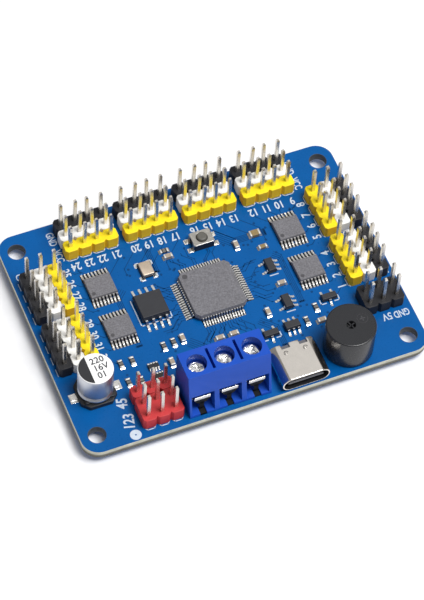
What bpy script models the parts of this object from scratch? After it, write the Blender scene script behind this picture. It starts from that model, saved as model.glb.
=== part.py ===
"""Servo driver board: a circuit board with rows of three-colour pin strips, a three-way screw
terminal, a USB socket, a buzzer, a can capacitor, a push switch and a set of chips.

Metres, +Z up. X runs along the front edge, where the terminal and the USB socket are, and Y runs
from front to back. The origin is on the floor under the middle of the board, so the board lies on
the tips of its pins, as it would on a table."""

import math

import bmesh
import bpy
from mathutils import Matrix, Vector

MM = 0.001

# Driving dimensions, in millimetres.
BOARD_WIDTH = 65.0
BOARD_DEPTH = 47.8
BOARD_THICKNESS = 1.6
BOARD_CORNER_RADIUS = 3.2
MOUNT_HOLE_DIAMETER = 3.2
MOUNT_INSET_X = 3.1
MOUNT_INSET_Y = 3.6

PIN_PITCH = 2.54
PIN_SIDE = 0.64
PIN_ABOVE_PLASTIC = 5.95
PIN_TAIL = 1.5
PLASTIC_HEIGHT = 2.54
PLASTIC_CHAMFER = 0.42
CHANNELS_PER_GROUP = 4
GROUP_STEP = 4.5  # from one group to the next, in pitches
GROUND_INSET_X = 2.42  # board edge to the centre of the outer, ground row
GROUND_INSET_Y = 2.26
SIDE_ROWS_START = 3.7  # back signal row to the first pin of the side columns
POWER_CLEAR_OF_COLUMN = 1.72
LINK_CLEAR_OF_TERMINAL = 0.68
ROW_GAP = 0.06  # between neighbouring strips

SOLDER_GAP = 0.05  # between the board and what is soldered to it
HOLE_CLEARANCE = 0.06  # pin corner to hole wall

TERMINAL_PITCH = 5.08
TERMINAL_POLES = 3
TERMINAL_HEIGHT = 10.0
TERMINAL_DEPTH = 7.3
TERMINAL_SLOPE = 1.9  # how far the front face leans back over its height
TERMINAL_DIVIDER = 0.9
TERMINAL_FLOOR = 0.5
TERMINAL_BACK_WALL = 0.7
TERMINAL_OFFSET_X = -5.6
TERMINAL_OFFSET_FRONT = 0.95
ENTRY_TOP = 5.1
SCREW_AXIS_FROM_BACK = 2.85
SCREW_WELL_DIAMETER = 3.6
SCREW_HEAD_DIAMETER = 3.1
SCREW_HEAD_HEIGHT = 1.4
SCREW_HEAD_DEPTH = 1.8  # below the top of the housing
SCREW_SHANK_DIAMETER = 2.1
THREAD_CLEARANCE = 0.12
CONTACT_THICKNESS = 0.8
CONTACT_BELOW_ENTRY = 0.8  # top of the wire entry to the contact's top plate
CONTACT_WIDTH = 3.0
CLAMP_THICKNESS = 0.5
WIRE_PART_GAP = 0.1

USB_WIDTH = 8.94
USB_HEIGHT = 3.26
USB_DEPTH = 7.35
USB_WALL = 0.3
USB_OFFSET_X = 8.25
USB_OFFSET_FRONT = 0.3
USB_TONGUE_WIDTH = 6.7
USB_TONGUE_THICKNESS = 0.7
USB_LEG = (0.3, 1.0)

BUZZER_DIAMETER = 9.0
BUZZER_HEIGHT = 7.0
BUZZER_HOLE_DIAMETER = 1.5
BUZZER_PIN_PITCH = 4.0
BUZZER_OFFSET = (14.2, 5.05)  # from the board's right and front edges

CAN_DIAMETER = 6.3
CAN_HEIGHT = 7.7
CAN_BASE_SIDE = CAN_DIAMETER + 0.3
CAN_BASE_CUT = 1.3  # its cut corners
CAN_BASE_HEIGHT = 1.0
CAN_CLEAR_OF_COLUMN = 1.35  # between the side column and the capacitor's base

BUTTON_DIAMETER = 1.9
SWITCH_SIZE = (BUTTON_DIAMETER + 2.1, BUTTON_DIAMETER + 1.1, 1.5)
SWITCH_COVER = 0.15
SWITCH_LEG_REACH = 0.85
BUTTON_RISE = 0.45
BUTTON_TRAVEL = 0.25
BUTTON_CLEARANCE = 0.1

MCU_SIDE = 10.0
DRIVER_BODY = (5.0, 4.4, 1.0)
DRIVER_SPAN = 6.6
DRIVER_FROM_COLUMN = 3.1  # side column's inner face to the middle of a driver chip
DRIVER_SPACING = 9.3
MEMORY_BODY = (5.23, 5.25, 1.7)
MEMORY_SPAN = 8.1

# Places worked out from the dimensions above, in millimetres.
FLOOR_TO_BOARD = PIN_TAIL
TOP = FLOOR_TO_BOARD + BOARD_THICKNESS
SEAT = TOP + SOLDER_GAP
FRONT = -BOARD_DEPTH / 2
BACK = BOARD_DEPTH / 2
RIGHT = BOARD_WIDTH / 2
SIGNAL_Y = BACK - GROUND_INSET_Y - 2 * PIN_PITCH
SIGNAL_X = RIGHT - GROUND_INSET_X - 2 * PIN_PITCH
COLUMN_START_Y = SIGNAL_Y - SIDE_ROWS_START
GROUP_LENGTH = (CHANNELS_PER_GROUP - 1) * PIN_PITCH
COLUMN_END_Y = COLUMN_START_Y - GROUP_STEP * PIN_PITCH - GROUP_LENGTH
COLUMN_FACE_X = SIGNAL_X - PIN_PITCH / 2
CAN_CENTRE = (
    -SIGNAL_X - 0.65 * PIN_PITCH,
    COLUMN_END_Y - PIN_PITCH / 2 - CAN_CLEAR_OF_COLUMN - CAN_BASE_SIDE / 2,
)
BUZZER_CENTRE = (RIGHT - BUZZER_OFFSET[0], FRONT + BUZZER_OFFSET[1])
ROWS = ("signal", "power", "ground")

TERMINAL_LEFT = TERMINAL_OFFSET_X - TERMINAL_POLES * TERMINAL_PITCH / 2
LINK_FIRST = (TERMINAL_LEFT - LINK_CLEAR_OF_TERMINAL - 2.5 * PIN_PITCH, FRONT + 2.9)
POWER_FIRST = (SIGNAL_X, COLUMN_END_Y - POWER_CLEAR_OF_COLUMN - 2 * PIN_PITCH)


def clear_scene():
    for obj in list(bpy.data.objects):
        bpy.data.objects.remove(obj)
    for collection in list(bpy.data.collections):
        bpy.data.collections.remove(collection)


def material(name, colour, roughness, metallic=0.0):
    made = bpy.data.materials.new(name)
    made.use_nodes = True
    surface = made.node_tree.nodes["Principled BSDF"]
    surface.inputs["Base Color"].default_value = (*colour, 1.0)
    surface.inputs["Roughness"].default_value = roughness
    surface.inputs["Metallic"].default_value = metallic
    made.diffuse_color = (*colour, 1.0)
    return made


def place(name, mesh, look, where=(0, 0, 0), turn=0.0, shared=False):
    """A part of the board as a named object, at a place in millimetres."""
    obj = bpy.data.objects.new(name, mesh)
    PARTS.objects.link(obj)
    if not mesh.materials:
        mesh.materials.append(look)
    obj.material_slots[0].link = "OBJECT"
    obj.material_slots[0].material = look
    obj.location = Vector(where) * MM
    obj.rotation_euler.z = turn
    if not shared:
        mesh.name = name
    return obj


def mesh_of(bm, name):
    bmesh.ops.recalc_face_normals(bm, faces=bm.faces)
    mesh = bpy.data.meshes.new(name)
    bm.to_mesh(mesh)
    bm.free()
    return mesh


def add_box(bm, size, centre):
    """A box of a size about a centre."""
    made = bmesh.ops.create_cube(bm, size=MM)["verts"]
    bmesh.ops.scale(bm, vec=size, verts=made)
    bmesh.ops.translate(bm, vec=Vector(centre) * MM, verts=made)


def add_cylinder(bm, diameter, low, high, centre=(0, 0), sides=24):
    """An upright cylinder between two heights, whose facets touch the diameter at their corners."""
    made = bmesh.ops.create_cone(
        bm,
        cap_ends=True,
        segments=sides,
        radius1=diameter / 2 * MM,
        radius2=diameter / 2 * MM,
        depth=(high - low) * MM,
    )["verts"]
    bmesh.ops.rotate(bm, verts=made, matrix=Matrix.Rotation(math.pi / sides, 3, "Z"))
    middle = Vector((centre[0], centre[1], (low + high) / 2)) * MM
    bmesh.ops.translate(bm, vec=middle, verts=made)


def outline_mesh(outlines, thickness, name):
    """A flat plate from closed outlines, the first outside and the others holes, centred on Z.

    It is filled at a scale of one unit to a millimetre, where the fill is exact, then scaled."""
    curve = bpy.data.curves.new(name, "CURVE")
    curve.dimensions = "2D"
    curve.fill_mode = "BOTH"
    curve.extrude = thickness / 2
    for points in outlines:
        spline = curve.splines.new("POLY")
        spline.points.add(len(points) - 1)
        for at, (x, y) in zip(spline.points, points):
            at.co = (x, y, 0, 1)
        spline.use_cyclic_u = True
    guide = bpy.data.objects.new(name, curve)
    bpy.context.scene.collection.objects.link(guide)
    graph = bpy.context.evaluated_depsgraph_get()
    mesh = bpy.data.meshes.new_from_object(guide.evaluated_get(graph))
    bpy.data.objects.remove(guide)
    bpy.data.curves.remove(curve)
    bm = bmesh.new()
    bm.from_mesh(mesh)
    bmesh.ops.remove_doubles(bm, verts=bm.verts, dist=1e-4)
    bmesh.ops.scale(bm, vec=(MM, MM, MM), verts=bm.verts)
    bpy.data.meshes.remove(mesh)
    return mesh_of(bm, name)


def moved(mesh, offset, turn=None):
    """The mesh, turned and then shifted by an offset in millimetres."""
    if turn:
        mesh.transform(Matrix.Rotation(turn[0], 4, turn[1]))
    mesh.transform(Matrix.Translation(Vector(offset) * MM))
    return mesh


def arc(centre, radius, start, end, steps):
    """Points along an arc, in degrees."""
    return [
        (
            centre[0] + radius * math.cos(math.radians(start + (end - start) * i / steps)),
            centre[1] + radius * math.sin(math.radians(start + (end - start) * i / steps)),
        )
        for i in range(steps + 1)
    ]


def rounded_rectangle(width, depth, radius, steps=6):
    points = []
    for quarter, (side_x, side_y) in enumerate(((1, 1), (-1, 1), (-1, -1), (1, -1))):
        centre = (side_x * (width / 2 - radius), side_y * (depth / 2 - radius))
        points += arc(centre, radius, 90 * quarter, 90 * quarter + 90, steps)
    return points


def chamfered_rectangle(width, depth, cut):
    x, y = width / 2, depth / 2
    corners = ((x, y, -1, -1), (-x, y, 1, -1), (-x, -y, 1, 1), (x, -y, -1, 1))
    points = []
    for i, (cx, cy, inward_x, inward_y) in enumerate(corners):
        ends = [(cx, cy + inward_y * cut), (cx + inward_x * cut, cy)]
        points += ends if i % 2 == 0 else ends[::-1]
    return points


def ring_hole(centre, diameter, sides=6):
    """A hole outline whose flats touch the circle of a diameter."""
    radius = diameter / 2 / math.cos(math.pi / sides)
    turn = math.pi / sides
    return [
        (
            centre[0] + radius * math.cos(2 * math.pi * i / sides + turn),
            centre[1] + radius * math.sin(2 * math.pi * i / sides + turn),
        )
        for i in range(sides)
    ]


def shape(mesh, joins=(), cuts=()):
    """The mesh with others joined to it and others cut from it, as one evaluated mesh."""
    base = bpy.data.objects.new("shape", mesh)
    CUTTERS.objects.link(base)
    for operation, others in (("UNION", joins), ("DIFFERENCE", cuts)):
        for other in others:
            tool = bpy.data.objects.new("tool", other)
            tool.hide_render = True
            tool.display_type = "WIRE"
            CUTTERS.objects.link(tool)
            modifier = base.modifiers.new(operation, "BOOLEAN")
            modifier.operation = operation
            modifier.solver = "EXACT"
            modifier.object = tool
    graph = bpy.context.evaluated_depsgraph_get()
    made = bpy.data.meshes.new_from_object(base.evaluated_get(graph))
    tools = [modifier.object for modifier in base.modifiers]
    bpy.data.objects.remove(base)
    for tool in tools:
        bpy.data.objects.remove(tool)
    return made


def boxes(sizes_and_centres):
    bm = bmesh.new()
    for size, centre in sizes_and_centres:
        add_box(bm, size, centre)
    return mesh_of(bm, "boxes")


def turned(profile, steps, name, look, where):
    """A turned part: a profile of (radius, height), from top to bottom, with a Screw modifier."""
    bm = bmesh.new()
    verts = [bm.verts.new((r * MM, 0, z * MM)) for r, z in profile]
    for first, second in zip(verts, verts[1:]):
        bm.edges.new((first, second))
    mesh = bpy.data.meshes.new(name)
    bm.to_mesh(mesh)
    bm.free()
    obj = place(name, mesh, look, where)
    screw = obj.modifiers.new("turn", "SCREW")
    screw.axis = "Z"
    screw.steps = steps
    screw.render_steps = steps
    screw.use_merge_vertices = True
    screw.merge_threshold = 1e-6
    screw.use_smooth_shade = True
    return obj


def smooth(mesh, angle=35):
    mesh.shade_smooth()
    mesh.set_sharp_from_angle(angle=math.radians(angle))
    return mesh


def header_mesh(columns, rows):
    """A pin header standing on z = 0, its first pin at the origin and its columns along X."""
    half = PIN_PITCH / 2 - ROW_GAP / 2
    right = (columns - 1) * PIN_PITCH + half
    back = (rows - 1) * PIN_PITCH + half
    cut = PLASTIC_CHAMFER
    end = 0.9 * cut
    points = [(-half, -half + end), (-half + end, -half)]
    notches = [(i + 0.5) * PIN_PITCH for i in range(columns - 1)]
    for x in notches:
        points += [(x - cut, -half), (x, -half + cut), (x + cut, -half)]
    points += [(right - end, -half), (right, -half + end), (right, back - end)]
    points += [(right - end, back)]
    for x in reversed(notches):
        points += [(x + cut, back), (x, back - cut), (x - cut, back)]
    points += [(-half + end, back), (-half, back - end)]
    plastic = outline_mesh([points], PLASTIC_HEIGHT, "plastic")
    moved(plastic, (0, 0, PLASTIC_HEIGHT / 2))
    top = PLASTIC_HEIGHT + PIN_ABOVE_PLASTIC
    bottom = -SOLDER_GAP - BOARD_THICKNESS - PIN_TAIL
    pins = boxes(
        (
            (PIN_SIDE, PIN_SIDE, top - bottom),
            (column * PIN_PITCH, row * PIN_PITCH, (top + bottom) / 2),
        )
        for column in range(columns)
        for row in range(rows)
    )
    return shape(plastic, joins=[pins])


def header_pins(first, columns, rows, turn=0):
    """Where a header's pins go through the board. turn is in quarter turns."""
    found = []
    for column in range(columns):
        for row in range(rows):
            x, y = column * PIN_PITCH, row * PIN_PITCH
            for _ in range(turn % 4):
                x, y = -y, x
            found.append((first[0] + x, first[1] + y))
    return found


def strip_places():
    """Each four-pin strip: its name, row, first pin and quarter turns."""
    places = []
    group_span = 3 * GROUP_STEP * PIN_PITCH + GROUP_LENGTH
    for row, job in enumerate(ROWS):
        for group in range(4):
            x = 0.45 - group_span / 2 + group * GROUP_STEP * PIN_PITCH
            y = SIGNAL_Y + row * PIN_PITCH
            places.append((f"back_strip_{group + 1}_{job}", job, (x, y), 0))
        for side, name in ((-1, "left"), (1, "right")):
            for group in range(2):
                y = COLUMN_START_Y - group * GROUP_STEP * PIN_PITCH
                x = side * (SIGNAL_X + row * PIN_PITCH)
                places.append((f"{name}_strip_{group + 1}_{job}", job, (x, y), 3))
    return places


def header_strips():
    """The strips of the 32 channels, and the pins they put through the board."""
    mesh = header_mesh(CHANNELS_PER_GROUP, 1)
    holes = []
    for name, job, (x, y), turn in strip_places():
        look = {"signal": YELLOW, "power": WHITE, "ground": BLACK}[job]
        place(name, mesh, look, (x, y, SEAT), turn * math.pi / 2, shared=True)
        holes += header_pins((x, y), CHANNELS_PER_GROUP, 1, turn)
    return holes


def other_headers():
    """The red link headers at the front left and the black power header at the right."""
    holes = []
    for name, columns, rows, first, look in (
        ("link_header_front", 3, 2, LINK_FIRST, RED),
        ("link_header_back", 3, 1, (LINK_FIRST[0], LINK_FIRST[1] + 2 * PIN_PITCH), RED),
        ("power_header", 3, 2, POWER_FIRST, BLACK),
    ):
        place(name, header_mesh(columns, rows), look, (*first, SEAT))
        holes += header_pins(first, columns, rows)
    return holes


def terminal():
    """The screw terminal: a housing, and for each pole a contact, a clamp and a screw."""
    width = TERMINAL_PITCH * TERMINAL_POLES
    front = FRONT + TERMINAL_OFFSET_FRONT
    back = front + TERMINAL_DEPTH
    axis_y = back - SCREW_AXIS_FROM_BACK
    height = TERMINAL_HEIGHT
    side_view = [(front, 0), (back, 0), (back, height), (front + TERMINAL_SLOPE, height)]
    block = outline_mesh([side_view], width, "block")
    # The outline is drawn in X and Y, so it is stood up with its thickness along X.
    block.transform(Matrix.Rotation(math.pi / 2, 4, "Z") @ Matrix.Rotation(math.pi / 2, 4, "X"))
    poles = [(i - (TERMINAL_POLES - 1) / 2) * TERMINAL_PITCH for i in range(TERMINAL_POLES)]
    room = TERMINAL_PITCH - TERMINAL_DIVIDER
    inner_back = back - TERMINAL_BACK_WALL
    wells, cavities, slots, notches, floors = (bmesh.new() for _ in range(5))
    pin_room = CONTACT_THICKNESS + 4 * WIRE_PART_GAP
    for x in poles:
        add_cylinder(wells, SCREW_WELL_DIAMETER, ENTRY_TOP - 1, height + 1, (x, axis_y))
        cavity = (room, inner_back - front + 1, ENTRY_TOP - TERMINAL_FLOOR)
        middle = (x, (inner_back + front - 1) / 2, (ENTRY_TOP + TERMINAL_FLOOR) / 2)
        add_box(cavities, cavity, middle)
        notch = (0.3 * room, 2.0, 2 * TERMINAL_FLOOR)
        add_box(notches, notch, (x, front + 0.6, TERMINAL_FLOOR))
        add_box(floors, (pin_room, pin_room, 3 * TERMINAL_FLOOR), (x, axis_y, 0))
    for left, right in zip(poles, poles[1:]):
        slot = (0.5, back - front - TERMINAL_SLOPE - 1.2, 4.0)
        middle_y = (back + front + TERMINAL_SLOPE) / 2
        add_box(slots, slot, ((left + right) / 2, middle_y, height))
    cutters = [mesh_of(bm, "cutter") for bm in (wells, cavities, slots, notches, floors)]
    housing = shape(block, cuts=cutters)
    where = (TERMINAL_OFFSET_X, 0, SEAT)
    place("terminal_housing", housing, TERMINAL_BLUE, where)

    plate_top = ENTRY_TOP - CONTACT_BELOW_ENTRY
    plate_low = plate_top - CONTACT_THICKNESS
    contact_back = inner_back - WIRE_PART_GAP
    plate_front = front + TERMINAL_SLOPE * plate_top / height + 0.25
    foot_low = TERMINAL_FLOOR + WIRE_PART_GAP
    pin_low = -SOLDER_GAP - BOARD_THICKNESS - PIN_TAIL + 0.1
    wall = CONTACT_THICKNESS

    def plate(y0, y1, z0, z1, thick=CONTACT_WIDTH):
        return ((thick, y1 - y0, z1 - z0), (0, (y0 + y1) / 2, (z0 + z1) / 2))

    top_plate = boxes([plate(plate_front, contact_back, plate_low, plate_top)])
    back_plate = boxes([plate(contact_back - wall, contact_back, foot_low, plate_low + 0.1)])
    foot = boxes([plate(axis_y - 1.6, contact_back - 0.1, foot_low, foot_low + wall * 0.75)])
    pin = boxes([plate(axis_y - wall / 2, axis_y + wall / 2, pin_low, foot_low + 0.2, wall)])
    thread = bmesh.new()
    hole = SCREW_SHANK_DIAMETER + 2 * THREAD_CLEARANCE
    add_cylinder(thread, hole, plate_low - 1, plate_top + 1, (0, axis_y), 16)
    contact = shape(top_plate, joins=[back_plate, foot, pin], cuts=[mesh_of(thread, "thread")])

    clamp_top = plate_low - 3 * WIRE_PART_GAP
    clamp_front, clamp_back = axis_y - 1.5, axis_y + 1.1
    clamp = boxes([plate(clamp_front, clamp_back, clamp_top - CLAMP_THICKNESS, clamp_top, 2.6)])

    head_top = height - SCREW_HEAD_DEPTH
    head_low = head_top - SCREW_HEAD_HEIGHT
    head = bmesh.new()
    add_cylinder(head, SCREW_HEAD_DIAMETER, head_low, head_top)
    shank = bmesh.new()
    add_cylinder(shank, SCREW_SHANK_DIAMETER, clamp_top + SOLDER_GAP, head_low + 0.3, sides=16)
    slot_size = (SCREW_HEAD_DIAMETER * 0.78, 0.55, 1.2)
    recess = shape(
        boxes([(slot_size, (0, 0, head_top))]),
        joins=[boxes([((slot_size[1], slot_size[0], slot_size[2]), (0, 0, head_top))])],
    )
    screw = shape(mesh_of(head, "head"), joins=[mesh_of(shank, "shank")], cuts=[recess])
    smooth(screw)

    holes = []
    for i, x in enumerate(poles):
        at = (TERMINAL_OFFSET_X + x, 0, SEAT)
        place(f"terminal_contact_{i + 1}", contact, BRASS, at, shared=True)
        place(f"terminal_clamp_{i + 1}", clamp, STEEL, at, shared=True)
        screw_at = (at[0], axis_y, SEAT)
        place(f"terminal_screw_{i + 1}", screw, STEEL, screw_at, i * math.pi / 7, shared=True)
        holes.append((at[0], axis_y))
    return holes


def stadium(width, height, steps=6):
    """A slot-shaped outline with round ends, centred on the origin."""
    radius = height / 2
    reach = width / 2 - radius
    return arc((reach, 0), radius, -90, 90, steps) + arc((-reach, 0), radius, 90, 270, steps)


def usb_socket():
    """The socket's steel shell with its four legs, and the plastic tongue inside it."""
    centre_y = FRONT + USB_OFFSET_FRONT + USB_DEPTH / 2
    inner = (USB_WIDTH - 2 * USB_WALL, USB_HEIGHT - 2 * USB_WALL)
    tube = outline_mesh([stadium(USB_WIDTH, USB_HEIGHT), stadium(*inner)], USB_DEPTH, "tube")
    middle_z = USB_HEIGHT / 2
    moved(tube, (0, 0, middle_z), (math.pi / 2, "X"))
    leg_x = USB_WIDTH / 2 - USB_LEG[0] / 2
    leg_low = -SOLDER_GAP - BOARD_THICKNESS
    leg_places = [(side * leg_x, dy) for side in (-1, 1) for dy in (-1.7, 2.6)]
    legs = [
        boxes([((*USB_LEG, middle_z - leg_low), (x, y, (middle_z + leg_low) / 2))])
        for x, y in leg_places
    ]
    shell = smooth(shape(tube, joins=legs))
    where = (USB_OFFSET_X, centre_y, SEAT)
    place("usb_shell", shell, NICKEL, where)

    fit = 2 * SOLDER_GAP
    plug_depth = 2.4
    plug = outline_mesh([stadium(inner[0] - fit, inner[1] - fit)], plug_depth, "plug")
    plug_y = USB_DEPTH / 2 - plug_depth / 2 - 0.2
    moved(plug, (0, plug_y, middle_z), (math.pi / 2, "X"))
    reach = USB_DEPTH - plug_depth - 0.9
    blade_y = plug_y - plug_depth / 2 - reach / 2 + 0.1
    blade = boxes([((USB_TONGUE_WIDTH, reach, USB_TONGUE_THICKNESS), (0, blade_y, middle_z))])
    place("usb_tongue", shape(plug, joins=[blade]), BLACK, where)
    return [(where[0] + x, centre_y + y) for x, y in leg_places]


def buzzer():
    """A round buzzer with its sound hole in the middle of the top, on two round pins."""
    radius = BUZZER_DIAMETER / 2
    hole = BUZZER_HOLE_DIAMETER / 2
    pins = bmesh.new()
    low = -SOLDER_GAP - BOARD_THICKNESS - PIN_TAIL + 0.1
    pin_places = [(side * BUZZER_PIN_PITCH / 2, 0) for side in (-1, 1)]
    for at in pin_places:
        add_cylinder(pins, PIN_SIDE, low, 0.4, at, 8)
    case = turned(
        [
            (0, BUZZER_HEIGHT - 1.2),
            (hole, BUZZER_HEIGHT - 1.2),
            (hole, BUZZER_HEIGHT),
            (radius - 0.15, BUZZER_HEIGHT),
            (radius, BUZZER_HEIGHT - 0.15),
            (radius, 0),
            (0, 0),
        ],
        32,
        "buzzer",
        DARK_GREY,
        (*BUZZER_CENTRE, SEAT),
    )
    tool = bpy.data.objects.new("buzzer_pins", mesh_of(pins, "buzzer_pins"))
    tool.location = case.location
    tool.hide_render = True
    tool.display_type = "WIRE"
    CUTTERS.objects.link(tool)
    union = case.modifiers.new("pins", "BOOLEAN")
    union.operation = "UNION"
    union.solver = "EXACT"
    union.object = tool
    return [(BUZZER_CENTRE[0] + x, BUZZER_CENTRE[1] + y) for x, y in pin_places]


def capacitor():
    """The can capacitor: a rolled aluminium can on a black base with a soldered tab each side."""
    base = outline_mesh(
        [chamfered_rectangle(CAN_BASE_SIDE, CAN_BASE_SIDE, CAN_BASE_CUT)], CAN_BASE_HEIGHT, "base"
    )
    moved(base, (0, 0, CAN_BASE_HEIGHT / 2))
    tabs = boxes(
        ((1.4, 1.0, 0.25), (side * (CAN_BASE_SIDE / 2 + 0.4), 0, 0.125)) for side in (-1, 1)
    )
    place("capacitor_base", shape(base, joins=[tabs]), BLACK, (*CAN_CENTRE, SEAT))
    radius = CAN_DIAMETER / 2
    low = CAN_BASE_HEIGHT + SOLDER_GAP
    neck = low + 1.1
    turned(
        [
            (0, CAN_HEIGHT),
            (radius - 0.35, CAN_HEIGHT),
            (radius - 0.1, CAN_HEIGHT - 0.1),
            (radius, CAN_HEIGHT - 0.35),
            (radius, neck + 0.35),
            (radius - 0.3, neck),
            (radius - 0.05, neck - 0.35),
            (radius - 0.05, low + 0.3),
            (radius - 0.4, low),
            (0, low),
        ],
        32,
        "capacitor_can",
        ALUMINIUM,
        (*CAN_CENTRE, SEAT),
    )


def switch():
    """The push switch: a dark base, a metal cover with its legs, and a button that slides."""
    width, depth, height = SWITCH_SIZE
    centre = (2.4, COLUMN_START_Y - 2.1)
    where = (*centre, SEAT)
    flange = BUTTON_DIAMETER + 0.5
    travel_room = BUTTON_TRAVEL + 0.3 + 2 * BUTTON_CLEARANCE
    well = bmesh.new()
    add_cylinder(well, flange + 3 * BUTTON_CLEARANCE, height - travel_room, height + 1)
    body = boxes([((width - 0.3, depth, height), (0, 0, height / 2))])
    place("switch_base", shape(body, cuts=[mesh_of(well, "well")]), BLACK, where)

    cover_low = height + SOLDER_GAP
    cover = boxes([((width, depth, SWITCH_COVER), (0, 0, cover_low + SWITCH_COVER / 2))])
    legs = []
    for side in (-1, 1):
        leg_x = side * (width / 2 - 0.02)
        legs.append(
            boxes([((0.16, 1.7, cover_low + 0.1), (leg_x, 0, (cover_low + 0.1) / 2))])
        )
        foot_x = side * (width / 2 + SWITCH_LEG_REACH / 2 - 0.05)
        legs.append(boxes([((SWITCH_LEG_REACH, 1.7, 0.18), (foot_x, 0, 0.09))]))
    window = bmesh.new()
    hole = BUTTON_DIAMETER + 2 * BUTTON_CLEARANCE
    add_cylinder(window, hole, cover_low - 1, cover_low + 1)
    cover = shape(cover, joins=legs, cuts=[mesh_of(window, "window")])
    place("switch_cover", cover, NICKEL, where)

    flange_top = height - BUTTON_CLEARANCE
    button_top = cover_low + SWITCH_COVER + BUTTON_RISE
    plunger = bmesh.new()
    add_cylinder(plunger, flange, flange_top - 0.3, flange_top)
    stem = bmesh.new()
    add_cylinder(stem, BUTTON_DIAMETER, flange_top - 0.1, button_top)
    button = shape(mesh_of(plunger, "plunger"), joins=[mesh_of(stem, "stem")])
    place("switch_button", smooth(button), BUTTON_GREY, where)


def chip_mesh(body, rows, corner=0.0):
    """A chip standing on z = 0: a body, and rows of legs that slope down to the board.

    rows lists (side, count, pitch, span, width, shift): side 0 has its legs towards +X, 1 +Y,
    2 -X and 3 -Y, span is the distance from tip to tip, and shift moves legs along their row."""
    width, depth, height = body
    lift = 0.1
    outline = [(width / 2, depth / 2), (-width / 2, depth / 2)]
    outline += [(-width / 2, -depth / 2), (width / 2, -depth / 2)]
    if corner:
        outline = chamfered_rectangle(width, depth, corner)
    block = outline_mesh([outline], height - lift, "body")
    moved(block, (0, 0, (height + lift) / 2))
    legs = bmesh.new()
    thick = 0.12
    for side, count, pitch, span, leg_width, shift in rows:
        half = (width if side % 2 == 0 else depth) / 2
        reach = span / 2 - half
        bite = 0.1
        drop = height * 0.42 - thick / 2
        for i in range(count):
            along = shift + (i - (count - 1) / 2) * pitch
            made = bmesh.ops.create_cube(legs, size=MM)["verts"]
            bmesh.ops.scale(legs, vec=(reach + bite, leg_width, thick), verts=made)
            for vert in made:
                vert.co.z -= vert.co.x / (reach + bite) * drop
            middle = Vector((half - bite / 2 + reach / 2, along, thick / 2 + drop / 2)) * MM
            bmesh.ops.translate(legs, vec=middle, verts=made)
            turn = Matrix.Rotation(side * math.pi / 2, 3, "Z")
            bmesh.ops.rotate(legs, verts=made, matrix=turn)
    return shape(block, joins=[mesh_of(legs, "legs")])


def chips():
    """The processor, the four driver chips, the memory and the small regulators."""
    quad = [(side, 16, 0.5, 12.0, 0.22, 0.0) for side in range(4)]
    mcu = chip_mesh((MCU_SIDE, MCU_SIDE, 1.5), quad, corner=0.9)
    place("processor", mcu, CHIP_GREY, (0.15, 0.05, SEAT))

    dual = [(side, 8, 0.65, DRIVER_SPAN, 0.26, 0.0) for side in (1, 3)]
    driver = chip_mesh(DRIVER_BODY, dual)
    driver_x = COLUMN_FACE_X - DRIVER_FROM_COLUMN - DRIVER_BODY[0] / 2
    driver_y = COLUMN_START_Y - 5.05
    for i, (x, y) in enumerate(
        ((-driver_x, 0), (-driver_x, -DRIVER_SPACING), (driver_x, 0), (driver_x, -DRIVER_SPACING))
    ):
        place(f"driver_{i + 1}", driver, CHIP_GREY, (x, driver_y + y, SEAT), shared=True)

    memory = chip_mesh(MEMORY_BODY, [(side, 4, 1.27, MEMORY_SPAN, 0.42, 0.0) for side in (1, 3)])
    place("memory", memory, CHIP_BLACK, (-11.25, 0.65, SEAT))

    five = chip_mesh((1.6, 2.9, 1.1), [(0, 3, 0.95, 2.8, 0.4, 0.0), (2, 2, 1.9, 2.8, 0.4, 0.0)])
    for i, at in enumerate(((11.9, 1.5), (11.75, -6.7))):
        place(f"regulator_{i + 1}", five, CHIP_BLACK, (*at, SEAT), shared=True)
    three = chip_mesh((2.9, 1.3, 1.0), [(1, 2, 1.9, 2.4, 0.4, 0.0), (3, 1, 1.0, 2.4, 0.4, 0.0)])
    for i, at in enumerate(((19.2, -8.3), (6.5, -11.9))):
        place(f"transistor_{i + 1}", three, CHIP_BLACK, (*at, SEAT), shared=True)
    six = chip_mesh((2.9, 1.6, 1.1), [(side, 3, 0.95, 2.8, 0.4, 0.0) for side in (1, 3)])
    place("usb_guard", six, CHIP_BLACK, (10.65, -11.6, SEAT))


def crystal():
    """The crystal: a dark ceramic base under a metal lid."""
    where = (-9.15, 8.5, SEAT)
    place("crystal_base", boxes([((2.5, 3.2, 0.5), (0, 0, 0.25))]), CHIP_BLACK, where)
    lid = boxes([((2.2, 2.9, 0.35), (0, 0, 0.5 + SOLDER_GAP + 0.175))])
    place("crystal_lid", lid, NICKEL, where)


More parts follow.
